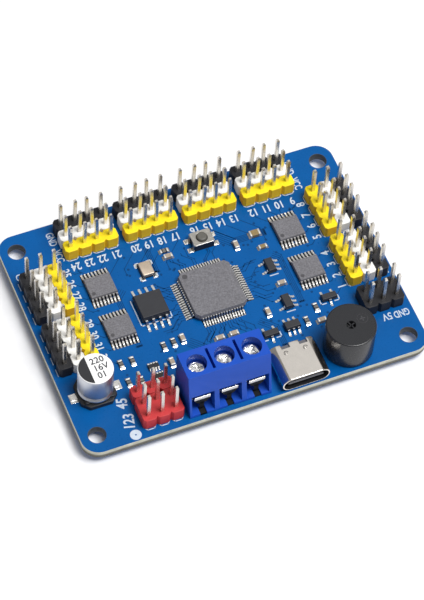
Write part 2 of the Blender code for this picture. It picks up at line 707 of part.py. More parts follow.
def circuit_board(square_pins, contact_pins, legs, round_pins):
    """The board, with its four mounting holes and a hole for each pin that goes through it."""
    outlines = [rounded_rectangle(BOARD_WIDTH, BOARD_DEPTH, BOARD_CORNER_RADIUS)]
    mount_x = RIGHT - MOUNT_INSET_X
    mount_y = BACK - MOUNT_INSET_Y
    for x, y in ((-mount_x, -mount_y), (mount_x, -mount_y), (mount_x, mount_y), (-mount_x, mount_y)):
        outlines.append(ring_hole((x, y), MOUNT_HOLE_DIAMETER, 24))
    room = 2 * HOLE_CLEARANCE
    for at in square_pins:
        outlines.append(ring_hole(at, PIN_SIDE * math.sqrt(2) + room))
    for at in contact_pins:
        outlines.append(ring_hole(at, CONTACT_THICKNESS * math.sqrt(2) + room))
    for at in round_pins:
        outlines.append(ring_hole(at, PIN_SIDE + room))
    for x, y in legs:
        wide, deep = USB_LEG[0] / 2 + HOLE_CLEARANCE, USB_LEG[1] / 2 + HOLE_CLEARANCE
        slot = [(x - wide, y - deep), (x + wide, y - deep), (x + wide, y + deep)]
        outlines.append(slot + [(x - wide, y + deep)])
    mesh = outline_mesh(outlines, BOARD_THICKNESS, "circuit_board")
    place("circuit_board", mesh, MASK_BLUE, (0, 0, FLOOR_TO_BOARD + BOARD_THICKNESS / 2))


def main():
    square_pins = header_strips() + other_headers()
    contact_pins = terminal()
    legs = usb_socket()
    round_pins = buzzer()
    capacitor()
    switch()
    chips()
    crystal()
    circuit_board(square_pins, contact_pins, legs, round_pins)


clear_scene()
PARTS = bpy.data.collections.new("servo_driver_board")
CUTTERS = bpy.data.collections.new("cutters")
bpy.context.scene.collection.children.link(PARTS)
bpy.context.scene.collection.children.link(CUTTERS)

MASK_BLUE = material("blue solder mask", (0.004, 0.10, 0.36), 0.35)
YELLOW = material("yellow nylon", (0.95, 0.62, 0.01), 0.45)
WHITE = material("white nylon", (0.85, 0.84, 0.80), 0.45)
BLACK = material("black nylon", (0.012, 0.012, 0.014), 0.45)
RED = material("red nylon", (0.55, 0.02, 0.02), 0.45)
TERMINAL_BLUE = material("light blue nylon", (0.02, 0.16, 0.72), 0.4)
BRASS = material("tinned brass", (0.72, 0.68, 0.58), 0.3, 1.0)
STEEL = material("plated steel", (0.75, 0.75, 0.74), 0.25, 1.0)
NICKEL = material("brushed nickel", (0.62, 0.58, 0.53), 0.35, 1.0)
ALUMINIUM = material("can aluminium", (0.72, 0.72, 0.74), 0.3, 1.0)
DARK_GREY = material("dark grey moulding", (0.045, 0.045, 0.052), 0.5)
BUTTON_GREY = material("button nylon", (0.12, 0.12, 0.11), 0.5)
CHIP_GREY = material("grey chip epoxy", (0.22, 0.22, 0.22), 0.6)
CHIP_BLACK = material("black chip epoxy", (0.02, 0.02, 0.024), 0.5)

main()
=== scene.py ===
import math
import random

import bmesh
import bpy
from mathutils import Matrix, Vector


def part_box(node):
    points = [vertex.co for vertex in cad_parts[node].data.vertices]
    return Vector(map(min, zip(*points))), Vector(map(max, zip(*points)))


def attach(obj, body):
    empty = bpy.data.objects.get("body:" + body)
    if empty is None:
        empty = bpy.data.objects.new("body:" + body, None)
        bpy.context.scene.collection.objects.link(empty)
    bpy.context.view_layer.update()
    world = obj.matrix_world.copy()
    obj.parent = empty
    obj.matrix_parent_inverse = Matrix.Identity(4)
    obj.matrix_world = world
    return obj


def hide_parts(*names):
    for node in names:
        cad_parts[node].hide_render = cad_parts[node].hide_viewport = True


bl_info = {
    "name": "Servo driver board",
    "version": (1, 0, 0),
    "blender": (4, 5, 0),
    "location": "View3D > Sidebar > Servo board",
    "description": "Dresses the frame of a servo driver board: mouldings, pins, chips, legend and finishes",
    "category": "Object",
}

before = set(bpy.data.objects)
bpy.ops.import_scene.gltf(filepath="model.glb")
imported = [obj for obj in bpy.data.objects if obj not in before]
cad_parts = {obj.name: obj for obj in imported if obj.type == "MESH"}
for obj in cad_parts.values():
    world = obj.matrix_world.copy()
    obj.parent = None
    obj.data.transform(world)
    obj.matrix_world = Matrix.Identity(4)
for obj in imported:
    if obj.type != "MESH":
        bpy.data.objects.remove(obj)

MM = 0.001


def corners(name):
    """The lowest and the highest corner of a CAD node."""
    low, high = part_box(name)
    return Vector(low), Vector(high)


def middle(name):
    low, high = corners(name)
    return (low + high) / 2


BOARD_LOW, BOARD_HIGH = corners("circuit_board")
TOP = BOARD_HIGH.z
SEAT = TOP + 0.05 * MM
PITCH = 2.54 * MM
PIN_SIDE = 0.64 * MM
PLASTIC = 2.54 * MM
COPPER = 0.012 * MM  # how far copper lifts the solder mask over it
INK = 0.02 * MM
VIA_RISE = 1.6 * COPPER
HOLE_RADIUS = 1.6 * MM
HOLE_INSET = Vector((3.1, 3.6, 0)) * MM
CORNER_RADIUS = 3.2 * MM
HALF_CELL = PITCH / 2 - 0.03 * MM  # a moulded cell stops a little short of its share of the pitch
GROUPS = [f"back_strip_{n}" for n in (1, 2, 3, 4)]
GROUPS += [f"{side}_strip_{n}" for side in ("left", "right") for n in (1, 2)]
JOBS = ("signal", "power", "ground")
HEADERS = (("link_header_front", "link"), ("link_header_back", "link"), ("power_header", "ground"))
NYLONS = {  # each job's colour name and slot
    "signal": ("Yellow", "yellow_nylon"),
    "power": ("White", "white_nylon"),
    "ground": ("Black", "black_nylon"),
    "link": ("Red", "red_nylon"),
}


def linear(hex_colour):
    """An sRGB hex colour as linear red, green and blue."""
    parts = [int(hex_colour[i : i + 2], 16) / 255 for i in (0, 2, 4)]
    return tuple(c / 12.92 if c <= 0.04045 else ((c + 0.055) / 1.055) ** 2.4 for c in parts)


# Settings that a user would change.


def colour_setting(name, hex_colour, description):
    return bpy.props.FloatVectorProperty(
        name=name,
        description=description,
        subtype="COLOR",
        size=3,
        min=0.0,
        max=1.0,
        default=linear(hex_colour),
    )


def length_setting(name, size_mm, description):
    return bpy.props.FloatProperty(
        name=name, description=description, unit="LENGTH", default=size_mm * MM, min=0.0, precision=5
    )


class ServoBoardColours(bpy.types.PropertyGroup):
    mask: colour_setting("Solder mask", "00569B", "Colour of the solder mask over copper")
    laminate: colour_setting("Laminate", "A3A294", "Colour of the board's routed edge")
    legend: colour_setting("Legend", "C6D2E0", "Colour of the printed legend")
    signal: colour_setting("Signal strips", "FFE21A", "Colour of the inner moulded strips")
    power: colour_setting("Power strips", "FAF9F5", "Colour of the middle moulded strips")
    ground: colour_setting("Ground strips", "222226", "Colour of the outer moulded strips")
    link: colour_setting("Link header", "C4373A", "Colour of the header at the front left")
    terminal: colour_setting("Terminal", "194EB8", "Colour of the screw terminal's housing")
    buzzer: colour_setting("Buzzer", "1E1F23", "Colour of the buzzer's case")
    epoxy: colour_setting("Chip epoxy", "6F6E73", "Colour of the grey chip bodies")


class ServoBoardSizes(bpy.types.PropertyGroup):
    moulding_edge: length_setting("Moulding edge", 0.1, "Radius on the edges of moulded pieces")
    pin_taper: length_setting("Pin taper", 0.35, "Length of the tapered end of a pin")
    digit_height: length_setting("Digit height", 1.6, "Height of the channel numbers")
    ink_width: length_setting("Legend line", 0.2, "Width of a printed line")
    trace_gap: length_setting("Trace gap", 0.15, "Width of the bare line beside a trace")
    via: length_setting("Via", 0.5, "Diameter of a via")
    floor_side: length_setting("Floor", 6000.0, "Side of the floor")


def colours():
    return bpy.context.scene.servo_board_colours


def sizes():
    return bpy.context.scene.servo_board_sizes


# Shapes.


def round_edges(bm, edges, radius, segments=2):
    """Rounds edges or, with one segment, chamfers them."""
    return bmesh.ops.bevel(
        bm, geom=edges, offset=radius, offset_type="OFFSET", segments=segments, profile=0.5,
        affect="EDGES", clamp_overlap=True, material=-1,
    )


def add_block(bm, low, high, edge=0.0, finish=0, segments=2):
    """A box between two corners, with rounded edges."""
    low, high = Vector(low), Vector(high)
    verts = bmesh.ops.create_cube(bm, size=1.0)["verts"]
    bmesh.ops.scale(bm, vec=high - low, verts=verts)
    bmesh.ops.translate(bm, vec=(low + high) / 2, verts=verts)
    faces = list({face for vert in verts for face in vert.link_faces})
    for face in faces:
        face.material_index = finish
    if edge:
        edges = list({e for face in faces for e in face.edges})
        round_edges(bm, edges, edge, segments)


def add_round(bm, centre, radius, low, high, finish=0, segments=32, end_radius=None):
    """An upright cylinder or cone between two heights."""
    verts = bmesh.ops.create_cone(
        bm,
        cap_ends=True,
        segments=segments,
        radius1=radius,
        radius2=radius if end_radius is None else end_radius,
        depth=high - low,
    )["verts"]
    bmesh.ops.translate(bm, vec=(centre[0], centre[1], (low + high) / 2), verts=verts)
    for face in {face for vert in verts for face in vert.link_faces}:
        face.material_index = finish


def add_turned(bm, centre, profile, finish=0, steps=64):
    """A turned shape about an upright axis, from its (radius, height) profile."""
    spot = Vector((centre[0], centre[1], 0))
    verts = [bm.verts.new(spot + Vector((r, 0, z))) for r, z in profile]
    edges = [bm.edges.new(pair) for pair in zip(verts, verts[1:])]
    made = bmesh.ops.spin(
        bm,
        geom=verts + edges,
        cent=spot,
        axis=(0, 0, 1),
        angle=2 * math.pi,
        steps=steps,
        use_merge=True,
        use_duplicate=False,
    )
    faces = {f for v in verts for f in v.link_faces if v.is_valid}
    faces |= {f for g in made["geom_last"] if isinstance(g, bmesh.types.BMVert) for f in g.link_faces}
    shell = set(faces)
    edge_of_shell = set(faces)
    while edge_of_shell:
        edge_of_shell = {n for f in edge_of_shell for e in f.edges for n in e.link_faces} - shell
        shell |= edge_of_shell
    for face in shell:
        face.material_index = finish
    verts = list({v for f in shell for v in f.verts})
    bmesh.ops.remove_doubles(bm, verts=verts, dist=1e-7)


def add_line(bm, points, width, low, high, finish=0):
    """A flat printed or etched line through points, one thin bar for each stretch."""
    for start, end in zip(points, points[1:]):
        start, end = Vector((*start[:2], 0)), Vector((*end[:2], 0))
        run = end - start
        if run.length < 1e-7:
            continue
        verts = bmesh.ops.create_cube(bm, size=1.0)["verts"]
        bmesh.ops.scale(bm, vec=(run.length + width, width, high - low), verts=verts)
        turn = Matrix.Rotation(math.atan2(run.y, run.x), 3, "Z")
        bmesh.ops.rotate(bm, verts=verts, matrix=turn)
        spot = (start + end) / 2
        bmesh.ops.translate(bm, vec=(spot.x, spot.y, (low + high) / 2), verts=verts)
        for face in {face for vert in verts for face in vert.link_faces}:
            face.material_index = finish


def add_outline(bm, loops):
    """Closed loops of points as edges, filled between the first and the others, facing up."""
    edges = []
    for points in loops:
        verts = [bm.verts.new(point) for point in points]
        edges += [bm.edges.new(pair) for pair in zip(verts, verts[1:] + verts[:1])]
    bmesh.ops.triangle_fill(bm, use_beauty=True, use_dissolve=True, edges=edges)


def add_plate(bm, loops, low, high, finish=0, edge=0.0, segments=2):
    """A plate of an outline with holes, between two heights, with a rounded upper edge."""
    before = set(bm.faces)
    add_outline(bm, [[(x, y, low) for x, y in points] for points in loops])
    faces = [face for face in bm.faces if face not in before]
    raised = bmesh.ops.extrude_face_region(bm, geom=faces, use_keep_orig=True)["geom"]
    verts = [v for v in raised if isinstance(v, bmesh.types.BMVert)]
    bmesh.ops.translate(bm, vec=(0, 0, high - low), verts=verts)
    made = [face for face in bm.faces if face not in before]
    bmesh.ops.recalc_face_normals(bm, faces=made)
    for face in made:
        face.material_index = finish
    if edge:
        level = [
            e
            for e in {e for face in made for e in face.edges}
            if all(abs(v.co.z - high) < 1e-8 for v in e.verts) and e.calc_face_angle(0) > 0.5
        ]
        round_edges(bm, level, edge, segments)


def circle(centre, radius, segments=48):
    return [
        (
            centre[0] + radius * math.cos(2 * math.pi * i / segments),
            centre[1] + radius * math.sin(2 * math.pi * i / segments),
        )
        for i in range(segments)
    ]


def rounded(low, high, radius, steps=10):
    """A rectangle with round corners."""
    points = []
    for quarter, (cx, cy) in enumerate(
        (
            (high[0] - radius, high[1] - radius),
            (low[0] + radius, high[1] - radius),
            (low[0] + radius, low[1] + radius),
            (high[0] - radius, low[1] + radius),
        )
    ):
        for i in range(steps + 1):
            angle = math.pi / 2 * (quarter + i / steps)
            points.append((cx + radius * math.cos(angle), cy + radius * math.sin(angle)))
    return points


def add_words(bm, words, centre, height, turn, low, high, finish=0, narrow=0.82, bold=0.02):
    """Printed characters as flat raised ink, turned about their centre."""
    curve = bpy.data.curves.new("ink", "FONT")
    curve.body = words
    curve.size = 1.0
    curve.align_x = "CENTER"
    curve.align_y = "CENTER"
    curve.resolution_u = 3
    curve.offset = bold
    curve.extrude = 0.5
    guide = bpy.data.objects.new("ink", curve)
    bpy.context.scene.collection.objects.link(guide)
    graph = bpy.context.evaluated_depsgraph_get()
    mesh = bpy.data.meshes.new_from_object(guide.evaluated_get(graph))
    bpy.data.objects.remove(guide)
    bpy.data.curves.remove(curve)
    size = height / 0.72
    mesh.transform(
        Matrix.Translation((centre[0], centre[1], (low + high) / 2))
        @ Matrix.Rotation(math.radians(turn), 4, "Z")
        @ Matrix.Diagonal((size * narrow, size, high - low, 1))
    )
    for face in mesh.polygons:
        face.material_index = finish
    bm.from_mesh(mesh)
    bpy.data.meshes.remove(mesh)


def dressed_copy(node, edge, angle=30):
    """The shape of a CAD node, with its flat faces whole and its edges rounded."""
    bm = bmesh.new()
    bm.from_mesh(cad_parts[node].data)
    bmesh.ops.transform(bm, matrix=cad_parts[node].matrix_world, verts=bm.verts)
    bmesh.ops.remove_doubles(bm, verts=bm.verts, dist=1e-6)
    bmesh.ops.dissolve_limit(
        bm, angle_limit=math.radians(1), use_dissolve_boundaries=False, verts=bm.verts, edges=bm.edges
    )
    sharp = [e for e in bm.edges if e.calc_face_angle(0) > math.radians(angle)]
    round_edges(bm, sharp, edge)
    return bm


def finish_piece(name, bm, finishes, body="board", stands_for=(), sharp=20):
    """Makes the finished piece, puts it on its body and, where it has one, in its CAD node's place."""
    mesh = bpy.data.meshes.new(name)
    bm.to_mesh(mesh)
    bm.free()
    for finish in finishes:
        mesh.materials.append(finish)
    mesh.shade_smooth()
    mesh.set_sharp_from_angle(angle=math.radians(sharp))
    piece = bpy.data.objects.new(name, mesh)
    collection = bpy.data.collections.get("Servo driver board")
    if collection is None:
        collection = bpy.data.collections.new("Servo driver board")
        bpy.context.scene.collection.children.link(collection)
    collection.objects.link(piece)
    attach(piece, body)
    if stands_for:
        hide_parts(*stands_for)
    return piece


# Finishes.


def add_node(tree, kind, settings=None, links=None):
    """Adds a node, with its settings by attribute or socket name and its links by socket name."""
    made = tree.nodes.new(kind)
    for name, value in (settings or {}).items():
        if name == "stops":
            made.color_ramp.elements[0].position, made.color_ramp.elements[1].position = (
                value[0][0],
                value[-1][0],
            )
            for place, _ in value[1:-1]:
                made.color_ramp.elements.new(place)
            for element, (_, colour) in zip(made.color_ramp.elements, value):
                element.color = (*colour, 1.0)
        elif hasattr(made, name):
            setattr(made, name, value)
        else:
            made.inputs[name].default_value = value
    for name, source in (links or {}).items():
        tree.links.new(source, made.inputs[name])
    return made


def shade(colour, factor):
    return tuple(min(1.0, c * factor) for c in colour)


def surface(
    name,
    colour,
    roughness,
    drift_mm=3.0,
    drift=0.06,
    grain_mm=0.12,
    speckle=0.03,
    bump_mm=0.002,
    stretch=(1, 1, 1),
    polish=0.05,
    **constants,
):
    """A material whose colour drifts softly over a few millimetres and speckles at its grain, and
    whose grain also stands up in height and varies in polish."""
    made = bpy.data.materials.get(name)
    if made:
        return made
    made = bpy.data.materials.new(name)
    made.use_nodes = True
    made.diffuse_color = (*colour, 1.0)
    tree = made.node_tree
    principled = tree.nodes["Principled BSDF"]
    place = add_node(tree, "ShaderNodeTexCoord").outputs["Object"]
    spread = add_node(
        tree,
        "ShaderNodeMapping",
        {"Scale": tuple(1 / s for s in stretch)},
        {"Vector": place},
    ).outputs["Vector"]
    soft = add_node(
        tree,
        "ShaderNodeTexNoise",
        {"Scale": 1 / (drift_mm * MM), "Detail": 3.0, "Roughness": 0.55},
        {"Vector": place},
    )
    fine = add_node(
        tree,
        "ShaderNodeTexNoise",
        {"Scale": 1 / (grain_mm * MM), "Detail": 2.0, "Roughness": 0.6},
        {"Vector": spread},
    )
    weight = speckle / (drift + speckle + 1e-6)
    both = add_node(
        tree, "ShaderNodeMath", {"operation": "MULTIPLY"}, {0: fine.outputs["Fac"]}
    )
    both.inputs[1].default_value = weight
    other = add_node(
        tree, "ShaderNodeMath", {"operation": "MULTIPLY_ADD"}, {0: soft.outputs["Fac"], 2: both.outputs[0]}
    )
    other.inputs[1].default_value = 1 - weight
    reach = drift + speckle
    ramp = add_node(
        tree,
        "ShaderNodeValToRGB",
        {"stops": [(0.3, shade(colour, 1 - reach)), (0.5, colour), (0.7, shade(colour, 1 + reach))]},
        {"Fac": other.outputs[0]},
    )
    tree.links.new(ramp.outputs["Color"], principled.inputs["Base Color"])
    if polish:
        sheen = add_node(
            tree,
            "ShaderNodeMapRange",
            {"From Min": 0.3, "From Max": 0.7, "To Min": roughness - polish, "To Max": roughness + polish},
            {"Value": fine.outputs["Fac"]},
        )
        tree.links.new(sheen.outputs["Result"], principled.inputs["Roughness"])
    else:
        principled.inputs["Roughness"].default_value = roughness
    if bump_mm:
        bump = add_node(
            tree,
            "ShaderNodeBump",
            {"Strength": 1.0, "Distance": bump_mm * MM},
            {"Height": fine.outputs["Fac"]},
        )
        tree.links.new(bump.outputs["Normal"], principled.inputs["Normal"])
    for socket, value in constants.items():
        principled.inputs[socket.replace("_", " ")].default_value = value
    return made


def solder_mask():
    # Epoxy solder mask, screened over copper and baked: a glossy, even blue with a slight orange peel.
    return surface(
        "Blue epoxy solder mask", tuple(colours().mask), 0.32, 7.0, 0.07, 0.35, 0.04, 0.0015,
        Specular_IOR_Level=0.15,
    )


def bare_mask():
    # The same mask where there is no copper under it: darker, because the laminate shows through.
    return surface("Solder mask over laminate", shade(tuple(colours().mask), 0.55), 0.4, 5.0, 0.1,
        Specular_IOR_Level=0.15,
    )


def glass_laminate():
    # Glass-epoxy laminate, routed to shape: matt cream with its glass layers showing as fine bands, painted
    # darker towards the underside and lighter towards the top as painted shade and light on the edge.
    made = surface(
        "Routed glass-epoxy laminate", tuple(colours().laminate), 0.7, 1.5, 0.12, 0.16, 0.14, 0.008,
        stretch=(12, 12, 1),
    )
    tree = made.node_tree
    if tree.nodes.get("Height"):
        return made
    principled = tree.nodes["Principled BSDF"]
    ramp = principled.inputs["Base Color"].links[0].from_socket
    place = add_node(tree, "ShaderNodeTexCoord").outputs["Object"]
    height = add_node(tree, "ShaderNodeSeparateXYZ", None, {"Vector": place})
    height.name = "Height"
    # Painted shade and light: the colour is scaled to 0.35 on the lower part of the edge and to 1.6 on its
    # upper part.
    painted_shade_by_height = add_node(
        tree, "ShaderNodeMapRange",
        {
            "From Min": BOARD_LOW.z + 0.6 * MM, "From Max": BOARD_LOW.z + 1.0 * MM,
            "To Min": 0.35, "To Max": 1.6,
        },
        {"Value": height.outputs["Z"]},
    )
    both = add_node(
        tree, "ShaderNodeVectorMath", {"operation": "SCALE"}, {0: ramp, "Scale": painted_shade_by_height.outputs["Result"]}
    )
    tree.links.new(both.outputs["Vector"], principled.inputs["Base Color"])
    return made


def drilled_laminate():
    # The wall of a drilled hole in the laminate: the same layers, painted darker as shade inside the hole.
    return surface(
        "Drilled glass-epoxy laminate", linear("51565C"), 0.7, 1.0, 0.15, 0.16, 0.1, 0.008, stretch=(8, 8, 1)
    )


def bare_laminate():
    # The window in the mask under the pads of a fine-pitch chip, near black as painted shade between the
    # leads: dull.
    return surface("Bare laminate between pads", linear("101B26"), 0.6, 1.0, 0.1, Specular_IOR_Level=0.3)


def legend_ink():
    # White epoxy legend ink, screen printed: flat and slightly uneven in cover.
    return surface("White legend ink", tuple(colours().legend), 0.6, 0.6, 0.05, 0.1, 0.05, 0.002)


def strip_nylon(job):
    # Glass-filled nylon, moulded and broken to length: satin, with a very fine matt texture.
    return surface(
        f"{NYLONS[job][0]} moulded nylon", tuple(getattr(colours(), job)), 0.5, 2.5, 0.05, 0.09, 0.04, 0.003,
        Specular_IOR_Level=0.3,
    )


def strip_side(job):
    # The side walls of the same mouldings: a little rougher, and on the yellow strips painted deeper orange,
    # as painted shade on the faces turned from the light.
    red, green, blue = getattr(colours(), job)
    # Painted shade: the yellow side walls lose a fifth of their green.
    colour = (red, green * 0.8, blue) if job == "signal" else (red, green, blue)
    return surface(
        f"{NYLONS[job][0]} moulded nylon, side wall", colour, 0.55, 2.0, 0.08, 0.09, 0.05, 0.003,
        Specular_IOR_Level=0.3,
    )


def darken_sides(bm):
    """Gives the upright faces of a moulding its side-wall finish, with its painted shade."""
    for face in bm.faces:
        if abs(face.normal.z) < 0.4:
            face.material_index = 1


def tinned_pin():
    # Drawn brass wire with bright tin plate: a clean mirror with faint draw lines along the pin.
    return surface(
        "Bright tin plate on brass", linear("DDD8CF"), 0.27, 3.0, 0.05, 0.05, 0.03, 0.0004,
        stretch=(1, 1, 14), Metallic=1.0,
    )


def tinned_lead():
    # Matt tin on copper leads: soft white metal.
    return surface("Matt tin plate", linear("E6E4E0"), 0.3, 0.5, 0.08, 0.08, 0.05, 0.002, Metallic=1.0)


def solder():
    # Reflowed solder: bright and slightly frosted.
    return surface("Reflowed solder", linear("DAD9D6"), 0.24, 0.4, 0.1, 0.1, 0.06, 0.004, Metallic=1.0)


def terminal_nylon():
    # Self-coloured polyamide, moulded with a spark-eroded texture: a soft satin blue.
    return surface(
        "Blue moulded polyamide", tuple(colours().terminal), 0.42, 4.0, 0.05, 0.12, 0.03, 0.003,
        Specular_IOR_Level=0.2,
    )


def black_steel():
    # Near-black painted shade deep in the wire entry and its slot: nearly no sheen.
    return surface(
        "Blackened spring steel", linear("15171A"), 0.6, 1.0, 0.1, 0.1, 0.05, 0.002, Specular_IOR_Level=0.2
    )


def zinc_steel():
    # Bright zinc on turned steel: fine rings left by the tool.
    return surface(
        "Bright zinc plate on steel", linear("F0F0EE"), 0.2, 0.6, 0.08, 0.06, 0.05, 0.002, Metallic=1.0
    )


def tinned_contact():
    # Stamped brass with tin plate: dull white metal with rolling lines.
    return surface(
        "Tin plate on stamped brass", linear("E9E4DA"), 0.28, 0.8, 0.06, 0.06, 0.04, 0.001,
        stretch=(10, 1, 1), Metallic=1.0,
    )


def drawn_shell():
    # Nickel plate on deep-drawn steel: warm grey, brushed from mouth to back.
    return surface(
        "Nickel plate on drawn steel", linear("E2DCD4"), 0.15, 1.5, 0.03, 0.05, 0.02, 0.0004,
        stretch=(1, 16, 1), polish=0.03, Metallic=1.0,
    )


def shell_inside():
    # The same nickel inside the shell, near black as painted shade deep in the socket's mouth.
    return surface("Dull nickel inside the shell", linear("1C1D20"), 0.6, 1.0, 0.08, Specular_IOR_Level=0.2)


def tongue_plastic():
    # Glass-filled nylon tongue of the socket: dark grey, slightly glossy.
    return surface("Dark grey moulded nylon", linear("5E5E64"), 0.4, 1.0, 0.06, 0.08, 0.04, 0.002)


def cover_steel():
    # Thin stainless strip, stamped: warm satin grey.
    return surface(
        "Satin stainless strip", linear("B9B6B0"), 0.36, 0.8, 0.05, 0.05, 0.04, 0.001, Metallic=1.0
    )


def can_aluminium():
    # Drawn and coated aluminium: satin silver with faint lines round the can.
    return surface(
        "Coated drawn aluminium", linear("C9CBD0"), 0.4, 1.5, 0.04, 0.05, 0.03, 0.001,
        stretch=(8, 8, 1), Metallic=1.0,
    )


def can_lacquer():
    # The white lacquer over the can's top.
    return surface("White can lacquer", linear("FCFCFB"), 0.4, 2.0, 0.03, 0.1, 0.02, 0.001)


def black_print():
    # Pad-printed black ink on the can.
    return surface("Black can print", linear("232326"), 0.45, 0.8, 0.1, 0.1, 0.06, 0.002)


def grey_epoxy():
    # Transfer-moulded chip epoxy, laser-marking grade: matt grey with a sandy grain.
    return surface("Grey moulded epoxy", tuple(colours().epoxy), 0.6, 2.5, 0.05, 0.3, 0.3, 0.01)


def dark_epoxy():
    # Transfer-moulded chip epoxy: slate black, eggshell sheen.
    return surface("Black moulded epoxy", linear("2A2B30"), 0.5, 2.0, 0.06, 0.16, 0.12, 0.005)


def buzzer_plastic():
    # Moulded ABS case: charcoal with a fine spark-eroded texture.
    return surface("Charcoal moulded plastic", tuple(colours().buzzer), 0.28, 3.0, 0.05, 0.12, 0.06, 0.001)


def black_plastic():
    # Black liquid-crystal polymer, moulded: low sheen.
    return surface("Black moulded polymer", linear("1E1E21"), 0.5, 1.5, 0.08, 0.1, 0.05, 0.003)


def button_plastic():
    # Grey-brown nylon button, polished on top by the mould.
    return surface("Grey-brown button nylon", linear("5E5C56"), 0.4, 1.0, 0.05, 0.08, 0.03, 0.002)


def tan_ceramic():
    # Fired barium titanate: biscuit tan, slightly glossy.
    return surface("Fired tan ceramic", linear("A99A88"), 0.4, 0.5, 0.06, 0.08, 0.05, 0.002)


def resistor_glaze():
    # Overglaze on a chip resistor: dark grey glass over alumina, with a clear gloss.
    return surface("Black resistor glaze", linear("6E6A66"), 0.32, 0.5, 0.1, 0.08, 0.05, 0.002)


def lamp_resin():
    # Clear epoxy over a lamp chip, yellowish.
    return surface("Amber lamp resin", linear("8F7A50"), 0.25, 0.4, 0.12, 0.08, 0.06, 0.002)


def gold_flash():
    # Hard gold flash on the socket's contacts.
    return surface("Hard gold flash", linear("E7C36A"), 0.22, 0.5, 0.04, 0.05, 0.03, 0.0005, Metallic=1.0)


def rating_print():
    # Dark grey pad-printed ink for the can's rating.
    return surface("Grey can print", linear("3A3A40"), 0.45, 0.8, 0.1, 0.1, 0.06, 0.002)


def mark_epoxy():
    # The polished floor of a moulded first-pin mark: darker than the sandy epoxy around it.
    return surface("Polished epoxy mark", linear("4A494D"), 0.35, 0.5, 0.06, 0.1, 0.05, 0.002)


def crystal_lid():
    # Seam-welded kovar lid, nickel plated: a soft biscuit-coloured metal.
    return surface(
        "Nickel plate on kovar", linear("D3C2AE"), 0.42, 0.8, 0.06, 0.08, 0.05, 0.002,
        Metallic=0.75,
    )


def chip_end():
    # Plated end of a chip part: silver-white and satin.
    return surface("Plated chip end", linear("E3E1DC"), 0.4, 0.4, 0.05, 0.08, 0.04, 0.002, Metallic=0.7)


# Where things are.


def strip_pins(name):
    """The pins of a four-way strip, in order from its first pin, and the way along it."""
    low, high = corners(name)
    centre = (low + high) / 2
    if high.x - low.x > high.y - low.y:
        along = Vector((1, 0, 0))
    else:
        along = Vector((0, -1, 0))
    return [centre + along * PITCH * (i - 1.5) for i in range(4)], along


def header_cells(name):
    """The cells of a header block: its columns run along X and its rows along Y."""
    low, high = corners(name)
    half = HALF_CELL
    columns = round((high.x - low.x - 2 * half) / PITCH) + 1
    rows = round((high.y - low.y - 2 * half) / PITCH) + 1
    return [
        Vector((low.x + half + PITCH * i, low.y + half + PITCH * j, 0))
        for i in range(columns)
        for j in range(rows)
    ], columns, rows


def strip_outline(first, along, count, depth_cells=1):
    """The plan of a moulded strip: chamfered cells in a row, with a notch between each two."""
    across = Vector((-along.y, along.x, 0))
    half = HALF_CELL
    cut = 0.42 * MM
    reach = (count - 1) * PITCH + half
    back = (depth_cells - 1) * PITCH + half
    side = [(-half, -half + cut), (-half + cut, -half)]
    for i in range(count - 1):
        x = (i + 0.5) * PITCH
        side += [(x - cut, -half), (x, -half + cut), (x + cut, -half)]
    side += [(reach - cut, -half), (reach, -half + cut)]
    other = [(reach, back - cut), (reach - cut, back)]
    for i in reversed(range(count - 1)):
        x = (i + 0.5) * PITCH
        other += [(x + cut, back), (x, back - cut), (x - cut, back)]
    other += [(-half + cut, back), (-half, back - cut)]
    spots = [first + along * a + across * b for a, b in side + other]
    return [(spot.x, spot.y) for spot in spots]


LEAN = (-0.08, 0.19, -0.24, -0.04)  # how far each pin's tip stands off plumb along its strip, in mm


def add_pin(bm, spot, low, high, lean, taper):
    """A square pin with a tapered tip at each end, leaning by a vector at its top."""
    verts = bmesh.ops.create_cube(bm, size=1.0)["verts"]
    bmesh.ops.scale(bm, vec=(PIN_SIDE, PIN_SIDE, high - low - 2 * taper), verts=verts)
    bmesh.ops.translate(bm, vec=(spot.x, spot.y, (low + high) / 2), verts=verts)
    faces = {f for v in verts for f in v.link_faces}
    edges = [e for f in faces for e in f.edges if abs(e.verts[0].co.z - e.verts[1].co.z) > PIN_SIDE]
    for sign in (1, -1):
        face = next(f for f in faces if f.is_valid and f.normal.z * sign > 0.9)
        tip = bmesh.ops.extrude_discrete_faces(bm, faces=[face])["faces"][0]
        for vert in tip.verts:
            vert.co.z += sign * taper
            vert.co.x = spot.x + (vert.co.x - spot.x) * 0.6
            vert.co.y = spot.y + (vert.co.y - spot.y) * 0.6
        verts += list(tip.verts)
    edges = [e for e in set(edges) if e.is_valid]
    made = round_edges(bm, edges, 0.05 * MM, 1)
    near = {v for f in made["faces"] for v in f.verts} | {v for v in verts if v.is_valid}
    for vert in near:
        rise = max(0.0, vert.co.z - SEAT - PLASTIC) / (high - SEAT - PLASTIC)
        vert.co += lean * rise


# The pieces, one operator for each or for each group of like ones.


